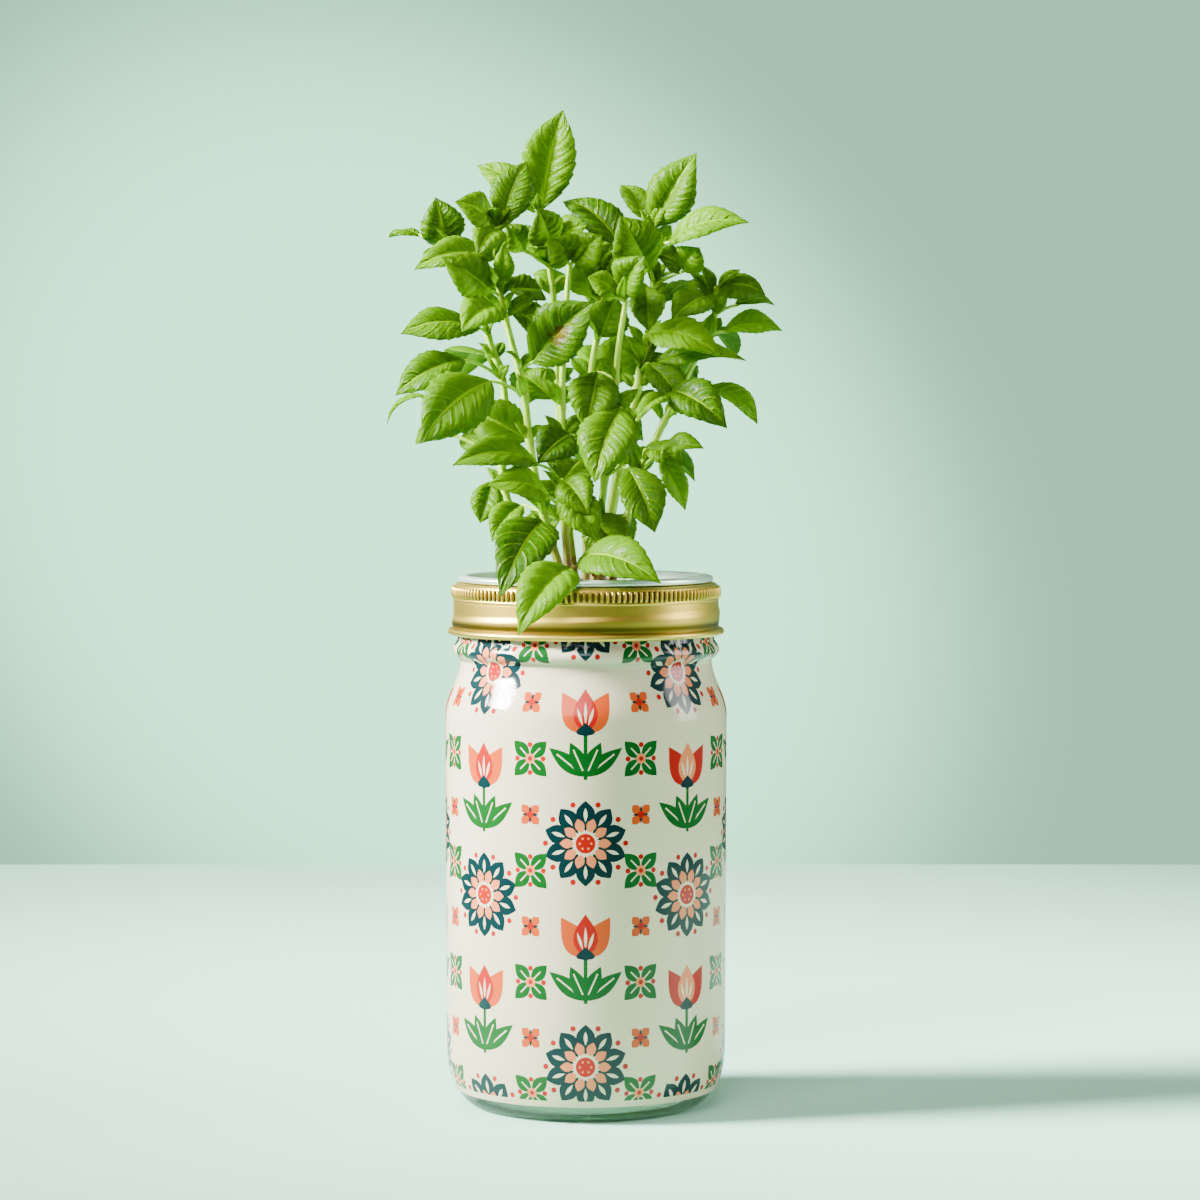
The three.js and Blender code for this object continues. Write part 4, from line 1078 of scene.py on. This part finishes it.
# A plant is its stem's radius, the places its stem passes and its leaves. A place is (x, y, height above
# the medium's edge). A leaf is its blade's base, tip, width, bow as a share of its length, and the degrees
# that its face leans from upwards to the front.
PLANTS = [
    (1.7, [(-8, -3, 0), (-15, -4, 28), (-19, -5, 51), (-21, -6, 68), (-26, -7, 88), (-29, -8, 101),
           (-31, -8, 122)],
     [((-28, -9, 123), (-20, -4, 145), 14, 0.08, 60),
      ((-31, -9, 123), (-43, -18, 131), 14, 0.12, 50),
      ((-29, -11, 121), (-36, -24, 113), 11, 0.12, 40),
      ((-31, -10, 112), (-57, -20, 109), 15, 0.12, 40),
      ((-32, -10, 101), (-47, -24, 112), 15, 0.12, 70),
      ((-27, -12, 104), (-27, -20, 116), 7, 0.1, 60),
      ((-26, -2, 102), (-13, 5, 99), 14, 0.1, 45),
      ((-25, -3, 94), (-15, 3, 88), 12, 0.1, 50),
      ((-29, -12, 95), (-41, -27, 88), 15, 0.15, 45),
      ((-18, -12, 77), (2, -24, 97), 20, 0.06, 75),
      ((-32, -12, 71), (-55, -26, 51), 21, 0.12, 60),
      ((-20, -4, 51), (-40, 2, 61), 16, 0.08, 65),
      ((-14, -16, 24), (-28, OVER_BAND + 10, 1), 19, 0.14, 60),
      ((-22, 0, 29), (-32, -6, 17), 11, 0.1, 40)]),
    (1.7, [(-14, 3, 0), (-25, 8, 25), (-28.5, 10, 39), (-28, 11, 68), (-33, 10, 85), (-38, 9, 101),
           (-43, 8, 108), (-46, 8, 116)],
     [((-48, 8, 116), (-51, 4, 133), 15, 0.08, 80),
      ((-57, 16, 121), (-68, 22, 121), 10, 0.1, 20),
      ((-36, 4, 89), (-62, -8, 88), 15, 0.12, 40),
      ((-41, 0, 78), (-64, -10, 67), 15, 0.14, 50),
      ((-55, 12, 66), (-69, 20, 57), 8, 0.14, 10),
      ((-51, 14, 54), (-59, 18, 50), 8, 0.1, 30),
      ((-33, 14, 51), (-44, 20, 51), 12, 0.1, 50),
      ((-32, 4, 37), (-36, 0, 23), 11, 0.1, 60),
      ((-43, 15, 110), (-53, 40, 113), 17, 0.12, 0),
      ((-34, 15, 80), (-46, 46, 72), 19, 0.14, 0),
      ((-29, 15, 46), (-36, 42, 44), 17, 0.14, 0)]),
    (1.6, [(-4, 10, 0), (-8, 15, 40), (-10, 16, 80), (-12.5, 15, 111), (-16, 15, 128)],
     [((-15, 14, 130), (-8, 10, 163), 18, 0.05, 70),
      ((-18, 16, 129), (-37, 24, 146), 13, 0.1, 30),
      ((-21, 6, 115), (-27, 2, 124), 11, 0.1, 60),
      ((-12, 10, 117), (-16, 2, 129), 14, 0.08, 60),
      ((-10, 12, 118), (0, 4, 124), 13, 0.1, 50),
      ((-11, 10, 113), (-17, 2, 115), 7, 0.1, 40),
      ((-12, 20, 102), (-6, 35, 108), 17, 0.1, 30),
      ((-15, 20, 112), (-28, 46, 118), 17, 0.12, 0),
      ((-10, 20, 72), (-22, 50, 64), 20, 0.14, 0),
      ((-8, 19, 46), (4, 50, 40), 18, 0.14, 0),
      ((-6, 16, 22), (-22, 44, 14), 15, 0.14, 0)]),
    (1.7, [(-6, 1, 0), (-7.5, 1, 30), (-8, 1, 58), (-8, 1, 72), (-6.5, 2, 99), (-5.5, 2, 110)],
     [((-6, 0, 111), (-12, -7, 119), 14, 0.1, 60),
      ((-4, 0, 111), (5, -5, 120), 14, 0.1, 60),
      ((-16, -11, 43), (-44, -24, 44), 13, 0.12, 40),
      ((-5, -4, 53), (-16, -16, 44), 15, 0.1, 60),
      ((-12, 5, 65), (-22, 12, 74), 12, 0.1, 60),
      ((-12, -14, 32), (-32, -28, 37), 14, 0.12, 50),
      ((-8, -14, 38), (1, -26, 27), 13, 0.12, 50),
      ((-8, -13, 37), (-1, -7, 45), 16, 0.1, 65),
      ((-7, -15, 35), (4, -26, 18), 14, 0.12, 50)]),
    (1.5, [(0, 9, 0), (0, 12, 40), (2, 13, 76), (5, 13, 92), (7, 12, 106)],
     [((3, 23, 115), (18, 34, 127), 13, 0.1, 30),
      ((6, 10, 107), (9, 8, 118), 10, 0.1, 50),
      ((5, 14, 104), (3, 21, 116), 12, 0.1, 50),
      ((10, 16, 70), (13, 21, 88), 16, 0.06, 75),
      ((5, 10, 86), (10, 7, 100), 15, 0.08, 70),
      ((2, 10, 100), (-3, 9, 112), 13, 0.08, 70),
      ((7, 18, 97), (14, 46, 106), 16, 0.12, 0),
      ((3, 19, 74), (8, 54, 78), 18, 0.12, 0),
      ((1, 17, 50), (20, 46, 52), 16, 0.14, 0),
      ((2, 14, 22), (16, 42, 14), 15, 0.14, 0)]),
    (1.6, [(3, -6, 0), (6, -9, 35), (9.5, -10, 64), (11, -10, 82), (13.5, -10, 98)],
     [((13, -11, 100), (19, -22, 112), 14, 0.1, 60),
      ((10, -11, 99), (1, -15, 106), 11, 0.1, 40),
      ((4, -7, 74), (0, -21, 55), 17, 0.1, 65),
      ((12, -16, 62), (3, -31, 38), 20, 0.1, 70),
      ((14, -14, 42), (23, -26, 21), 15, 0.1, 65),
      ((1, -11, 26), (13, -18, 10), 16, 0.1, 55),
      ((-5, -33, 9), (-22, OVER_BAND, -11), 18, 0.2, 45),
      ((-2, -25, 12), (24, OVER_BAND + 4, 6), 18, 0.14, 55)]),
    (2.2, [(5, 3, 0), (11.5, 6, 42), (15.5, 7, 59), (19.5, 8, 78), (21.5, 8, 86), (23, 8, 105),
           (22.5, 8, 122)],
     [((23, 8, 124), (37, 2, 148), 18, 0.06, 65),
      ((20, 10, 126), (12, 22, 139), 10, 0.1, 30),
      ((28, 2, 118), (54, -12, 125), 15, 0.12, 45),
      ((12, 12, 117), (-8, 26, 134), 16, 0.1, 35),
      ((22, 0, 108), (12, -10, 126), 18, 0.08, 70),
      ((20, -1, 103), (21, -9, 88), 12, 0.1, 60),
      ((33, 3, 108), (38, -1, 116), 12, 0.1, 60),
      ((32, 4, 109), (24, -3, 114), 11, 0.1, 50),
      ((20, -2, 87), (45, -14, 80), 17, 0.14, 50),
      ((23, 4, 77), (54, -4, 79), 14, 0.12, 40),
      ((21, 0, 77), (34, -14, 60), 12, 0.12, 60),
      ((27, -10, 68), (47, -24, 56), 15, 0.14, 55),
      ((28, -14, 66), (17, -26, 59), 9, 0.12, 40),
      ((26, 13, 98), (44, 38, 104), 17, 0.12, 0),
      ((20, 13, 70), (38, 42, 66), 19, 0.14, 0),
      ((14, 11, 44), (38, 34, 38), 16, 0.14, 0)]),
    (1.7, [(9, -3, 0), (14, -1, 25), (18.7, 1, 42), (22.5, 3, 49), (28, 6, 60), (35, 10, 74), (43, 12, 90),
           (44.5, 12, 101)],
     [((44, 10, 103), (61, 6, 101), 14, 0.12, 30),
      ((42, 8, 100), (29, -4, 92), 14, 0.12, 55),
      ((47, 10, 88), (67, 12, 89), 13, 0.12, 35),
      ((51, 16, 97), (65, 24, 98), 9, 0.1, 20),
      ((41, 3, 69), (59, 5, 57), 10, 0.12, 30),
      ((26, -12, 47), (39, -22, 49), 12, 0.12, 50),
      ((20, -5, 48), (33, -11, 43), 11, 0.12, 45),
      ((25, -8, 45), (34, -4, 27), 9, 0.1, 55),
      ((38, 16, 86), (52, 42, 80), 16, 0.14, 0),
      ((30, 12, 60), (45, 36, 57), 16, 0.14, 0)]),
]
BLOTCHED = (0, 9)
SPECKLED = (6, 9)


def stem_curve(places, samples=160):
    """A smooth centripetal curve through places, as evenly counted points."""
    knots = np.array(places, float)
    knots = np.array([2 * knots[0] - knots[1], *knots, 2 * knots[-1] - knots[-2]])
    spans = len(places) - 1
    steps = np.sqrt(np.linalg.norm(np.diff(knots, axis=0), axis=1))
    times = np.concatenate([[0.0], np.cumsum(steps)])

    def between(a, b, start, end, time):
        return ((end - time) * a + (time - start) * b) / (end - start)

    points = []
    for share in np.minimum(np.linspace(0, spans, samples + 1), spans - 1e-9):
        k = int(share)
        p, t = knots[k:k + 4], times[k:k + 4]
        time = t[1] + (t[2] - t[1]) * (share - k)
        a = [between(p[i], p[i + 1], t[i], t[i + 1], time) for i in range(3)]
        b = [between(a[i], a[i + 1], t[i], t[i + 2], time) for i in range(2)]
        points.append(between(*b, t[1], t[2], time))
    return np.array(points)


class Plant:
    """Collects one plant's corners, faces, leaf coordinates and leaf attributes."""

    def __init__(self):
        self.corners, self.faces, self.slots, self.uvs = [], [], [], []
        self.marks = {"tone": [], "blotch": [], "specks": []}
        self.count = 0

    def add(self, corners, faces, slots, uvs=None, **marks):
        self.corners.append(corners)
        self.faces += [[i + self.count for i in face] for face in faces]
        self.slots += slots
        self.uvs.append(np.zeros((len(corners), 2)) if uvs is None else uvs)
        for label, values in self.marks.items():
            values += [marks.get(label, 0.0)] * len(corners)
        self.count += len(corners)

    def add_tube(self, points, radii, sides, lobes=0.0):
        """A closed tube along points; lobes is how far four lobes stand out, as a share of its radius."""
        way = unit(np.gradient(points, axis=0))
        first = unit(np.cross(way, np.array([0.31, 0.95, 0.05])))
        second = np.cross(way, first)
        spin = turns(sides)[:, None]
        radius = radii[:, None, None] * (1 + lobes * np.cos(4 * spin))
        corners = points[:, None] + radius * (first[:, None] * np.cos(spin) + second[:, None] * np.sin(spin))
        faces = ring_faces(len(points), sides, caps=True)
        self.add(corners.reshape(-1, 3), faces, [STEM] * len(faces))

    def make(self, name, materials):
        corners = np.concatenate(self.corners) + np.array([0, 0, MEDIUM_EDGE])
        mesh = meshed(name, corners, self.faces, materials, self.slots)
        layer = mesh.uv_layers.new(name="blade")
        index = np.empty(len(mesh.loops), np.int32)
        mesh.loops.foreach_get("vertex_index", index)
        layer.data.foreach_set("uv", np.concatenate(self.uvs)[index].ravel())
        for label, values in self.marks.items():
            mesh.attributes.new(label, "FLOAT", "POINT").data.foreach_set("value", values)
        mesh.shade_smooth()
        return placed(name, mesh)


def blade_half(u, width, belly):
    """Half-width along an ovate blade with a drawn-out point; a larger belly lies further out."""
    point = 1 - 0.35 * np.clip((u - 0.8) / 0.2, 0, 1) ** 2
    return width / 2 * (0.05 * (1 - u) + 1.02 * np.sin(math.pi * u ** belly) ** 0.9 * point)


def blade_faces(rows, columns):
    """Faces of a blade's upper and lower sides and of its rim, with their material slots."""
    grid = np.arange((rows + 1) * (columns + 1)).reshape(rows + 1, columns + 1)
    upper = np.stack([grid[:-1, :-1], grid[:-1, 1:], grid[1:, 1:], grid[1:, :-1]], -1).reshape(-1, 4)
    lower = upper[:, ::-1] + grid.size
    edge = np.concatenate([grid[:, 0], grid[-1, 1:], grid[-2::-1, -1], grid[0, -2:0:-1]])
    following = np.roll(edge, -1)
    rim = np.stack([edge, following, following + grid.size, edge + grid.size], -1)
    faces = np.concatenate([upper, lower, rim]).tolist()
    return faces, [UPPER] * len(upper) + [LOWER] * (len(lower) + len(rim))


def add_blade(plant, leaf, luck, grid=BLADE_GRID, **marks):
    """A basil blade: arched, folded along the midrib, quilted between its veins, finely toothed."""
    base, tip, width, bow, lean = leaf
    base, tip = np.array(base, float), np.array(tip, float)
    low = base[2] < LOW_LEAF
    length = np.linalg.norm(tip - base)
    along = unit(tip - base)
    facing = np.array([0, -math.sin(math.radians(lean)), math.cos(math.radians(lean))])
    face = unit(facing - along * np.dot(along, facing))
    side = np.cross(face, along)
    rows, columns = grid
    u = np.linspace(0, 1, rows + 1)[:, None]
    s = np.linspace(-1, 1, columns + 1)[None, :]
    out = np.abs(s)

    def faded(base_share, tip_share):
        """1 along the blade, falling to 0 over a share of it at each end."""
        return np.clip(u / base_share, 0, 1) * np.clip((1 - u) / tip_share, 0, 1)

    half = blade_half(u, width, BLADE_BELLY + 0.07 * luck[1] - (0.1 if low else 0.0))
    teeth = TOOTH_DEPTH * ((u * BLADE_TEETH + 0.2) % 1.0 - 0.5) * faded(1 / 6, 1 / 6)
    fold = BLADE_FOLD * (1 + 0.45 * luck[2]) * (1.75 * out - 0.95 * out ** 2)
    quilt = np.abs(np.sin(math.pi * (vein_count(u, out, s > 0) - 0.5))) ** 0.6
    puffed = (BLADE_QUILT + 0.08 * luck[2]) * quilt * out ** 0.6 * (1 - out ** 3) * faded(1 / 5, 1 / 3)
    ripple = BLADE_RIPPLE * np.sin(math.tau * (1.6 * u + luck[0]) + 1.5 * np.sign(s)) * out ** 2
    curl = BLADE_CURL * (1 + luck[3]) * out ** 4
    lift = half * (fold + puffed + ripple - curl)
    droop = BLADE_DROOP * length * np.clip((u - 0.6) / 0.4, 0, 1) ** 2
    arch = 4 * bow * length * u * (1 - u) - droop
    twist = 0.0 if low else BLADE_TWIST * luck[0] * u
    sway = BLADE_SWAY * luck[1] * width * np.sin(math.pi * u)
    reach = s * half * (1 + teeth * out ** 4) + sway
    aside = reach * np.cos(twist) - lift * np.sin(twist)
    raised = arch + lift * np.cos(twist) + reach * np.sin(twist)
    spot = base + along * (u * length)[..., None] + side * aside[..., None] + face * raised[..., None]
    rib = (1 - u) ** 0.7 * np.exp(-((s * half) / 0.5) ** 2) * min(0.6, 0.035 * width)
    below = spot - face * (BLADE_THICKNESS + rib)[..., None]
    uvs = np.stack(np.broadcast_arrays(u, (s + 1) / 2), -1)
    plant.add(np.stack([spot, below]).reshape(-1, 3), *blade_faces(rows, columns),
              np.stack([uvs, uvs]).reshape(-1, 2), **marks)
    return base - face * PETIOLE_SINK, along


def add_leaflets(plant, node, way, luck, tone):
    """A pair of small young leaves in the axil of a leaf."""
    across = unit(np.array([-way[1], way[0], 0.0]) + luck.normal(0, 0.15, 3))
    for hand in (-1, 1):
        length = luck.uniform(*LEAFLET_LENGTHS)
        aside = across * hand * luck.uniform(0.5, 0.9)
        aim = unit(aside + way * luck.uniform(0.1, 0.5) + np.array([0, 0, 0.75]))
        base = node + aim
        lean = luck.uniform(*LEAFLET_LEANS)
        leaf = (base, base + aim * length, length * luck.uniform(*LEAFLET_WIDTHS), LEAFLET_BOW, lean)
        add_blade(plant, leaf, luck.random(4), LEAFLET_GRID, tone=min(TONE_LIMITS[1], tone + YOUNG_TONE))


def make_plant(number, stem_radius, places, leaves, materials):
    luck = np.random.default_rng(PLANT_SEED + number)
    plant = Plant()
    foot = np.array(places[0], float)
    root = foot - np.array([0, 0, STEM_ROOT])
    collar = foot + np.array([0, 0, MEDIUM_CROWN + STEM_COLLAR])
    curve = stem_curve([root, foot, collar, *places[1:]])
    top = max(height for _, _, height in places)
    knots = []

    def stem_at(height):
        above = np.nonzero(curve[:, 2] >= height)[0]
        return above[0] if len(above) else len(curve) - 1

    for i, leaf in enumerate(leaves):
        x, y, height = leaf[0]
        tone = LEAF_TONE - TONE_FALL * (height / top) ** 1.5 + luck.normal(0, TONE_SPREAD)
        tone = float(np.clip(tone, *TONE_LIMITS))
        blotch, specks = float((number, i) == BLOTCHED), float((number, i) == SPECKLED)
        tone *= BLOTCH_TONE if blotch else 1
        form = luck.random(4) * 2 - 1
        start, along = add_blade(plant, leaf, form, tone=tone, blotch=blotch, specks=specks)
        stem = curve[stem_at(height)]
        reach = math.hypot(x - stem[0], y - stem[1])
        knots.append(stem_at(max(collar[2] + KNOT_LOWEST, height - PETIOLE_RISE * reach)))
        node = curve[knots[-1]]
        arch = np.array([0, 0, PETIOLE_ARCH]) * np.linalg.norm(start - node)
        bend = (node + start) / 2 + arch - along * PETIOLE_SWEEP
        path = np.concatenate([bent(node, bend, start, steps=9), [start + along * PETIOLE_OVERLAP]])
        plant.add_tube(path, np.linspace(*PETIOLE_RADII, len(path)), sides=8)
        if height > LEAFLETS_FROM:
            add_leaflets(plant, node, unit(start - node), luck, tone)
    from_knot = np.arange(len(curve))[:, None] - np.array(knots)
    swell = 1 + KNOT_SWELL * np.exp(-(from_knot / KNOT_STATIONS) ** 2).max(axis=1)
    radii = np.linspace(stem_radius, STEM_TIP_RADIUS, len(curve)) * swell
    plant.add_tube(curve, radii, sides=14, lobes=STEM_LOBES)
    return plant.make(f"basil_{number + 1}", materials)


def show(piece, body, slot, *nodes):
    """A finished piece rides on its body and stands for its nodes of the part."""
    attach(piece, body)
    if nodes:
        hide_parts(*nodes)


INKS = [printed(f"film_{name}", colour(*screen)) for name, screen in INK_COLOURS.items()]
GOLD = gold_satin()
COIR_BED = coir("coir_bed", colour(34, 20, 10), colour(84, 56, 30))
COIR_FIBRE = coir("coir_fibre", colour(66, 40, 20), colour(128, 90, 50))
LEAF = [basil_leaf("leaf_upper", True), basil_leaf("leaf_lower", False), basil_stem()]

show(make_jar(jar_glass()), "jar", "jar_glass", "glass_jar")
show(make_film(INKS), "jar", "printed_film", "printed_sleeve")
show(make_seal(seal_rubber()), "seal", "seal_rubber", "lid_seal")
show(make_band(GOLD), "band", "gold_band", "screw_band")
show(make_knurl(GOLD), "band", "gold_band")
show(make_cup(cup_steel()), "cup", "cup_steel", "net_cup")
show(make_medium(COIR_BED), "cup", "coir_medium", "grow_medium")
show(make_fibres(COIR_FIBRE), "cup", "coir_medium")
wick, wick_length = make_wick(wick_felt())
show(wick, "cup", "wick_felt", "wick")
for number, (stem_radius, places, leaves) in enumerate(PLANTS):
    show(make_plant(number, stem_radius, places, leaves, LEAF), "cup", "basil", f"basil_plant_{number + 1}")


def stage_top(material):
    """A table top, straight along its sides and round at its corners."""
    spin = turns(STAGE_POINTS)
    squared = np.abs(np.cos(spin)) ** STAGE_CORNER + np.abs(np.sin(spin)) ** STAGE_CORNER
    corners = around(STAGE_REACH / squared ** (1 / STAGE_CORNER), spin, 0.0)
    made = placed("floor", meshed("floor", corners, [list(range(STAGE_POINTS))], [material]))


def lamp(kind, name, spot, aim, power, **settings):
    """A lamp at a place in metres, aimed at another."""
    light = bpy.data.lights.new(name, kind)
    light.energy = power
    for key, value in settings.items():
        setattr(light, key, value)
    made = placed(name, light)
    made.location = spot
    made.rotation_euler = (Vector(aim) - Vector(spot)).to_track_quat("-Z", "Y").to_euler()


def soft_box(name, spot, aim, size, power, spread):
    """A rectangular area lamp; its size is in metres and its spread in degrees."""
    width, height = size
    lamp("AREA", name, spot, aim, power, shape="RECTANGLE", size=width, size_y=height,
         spread=math.radians(spread))


def surround():
    """Light from all round, and the green backdrop with a painted pool of light behind the jar that the eye
    and the glass see.
    """
    world = bpy.data.worlds.new("studio")
    bpy.context.scene.world = world
    world.use_nodes = True
    sky = Nodes(world.node_tree)
    x, y, z = sky.split(sky.wire("ShaderNodeTexCoord", out="Generated"))
    glow = sky.mix((z * 0.6 + abs(x) * 0.6 + 0.05).over(0.0, 1.0), (0.06, 0.08, 0.05), (0.76, 0.96, 0.82))
    light = sky.wire("ShaderNodeBackground", Color=glow, Strength=0.21)
    # Painted pool of light on the backdrop: seen by the eye, the glass and partly the gloss, but lighting
    # nothing
    slanted = sky.vector(x + (z - PAINTED_POOL_MIDDLE[2]) * PAINTED_POOL_SLANT, y, z)
    off_painted_pool = sky.distance(slanted, PAINTED_POOL_MIDDLE)
    painted_pool = sky.wire("ShaderNodeMapRange", {"interpolation_type": "SMOOTHERSTEP"}, Value=off_painted_pool,
                    From_Min=0.07, From_Max=0.17, To_Min=1.0, To_Max=0.0)
    green = sky.mix(painted_pool, (0.41, 0.92, 0.57), (1.12, 2.75, 1.7))
    mint = sky.wire("ShaderNodeBackground", Color=green, Strength=1.0)
    rays = sky.node("ShaderNodeLightPath").outputs
    eye, glass, gloss = (Wire(rays[f"Is {kind} Ray"]) for kind in ("Camera", "Transmission", "Glossy"))
    seen = (eye + glass + gloss * y.over(-0.1, 0.3) * 0.38).over(0.0, 1.0)
    sky.node("ShaderNodeOutputWorld", Surface=sky.mix_shaders(seen, light, mint))


def camera():
    eye = bpy.data.cameras.new("camera")
    eye.sensor_width = 36
    eye.lens = CAMERA_LENS
    made = placed("camera", eye)
    made.location = CAMERA_PLACE
    made.rotation_euler = (math.radians(90 - CAMERA_DIP), 0, 0)
    bpy.context.scene.camera = made


stage_top(matt_paint("floor_paint", colour(178, 236, 208)))
soft_box("key", (-1.35, -0.2, 0.98), (0.46, 0.1, 0.07), (0.6, 0.6), 17.3, 29)
lamp("SPOT", "backdrop", (-0.6, -0.6, 1.3), (-0.08, 0.6, 0.0), 560,
     spot_size=math.radians(30), spot_blend=1.0, shadow_soft_size=0.2)
soft_box("front", (-0.3, -1.6, 1.1), (0, 0, 0.17), (0.9, 0.9), 2.5, 60)
soft_box("overhead", (0, -0.75, 1.9), (0, -0.7, 0), (1.2, 0.8), 1.4, 60)
soft_box("strip", (0.95, 0.0, 0.42), (0, 0, 0.17), (0.4, 0.7), 1.5, 60)
surround()
camera()
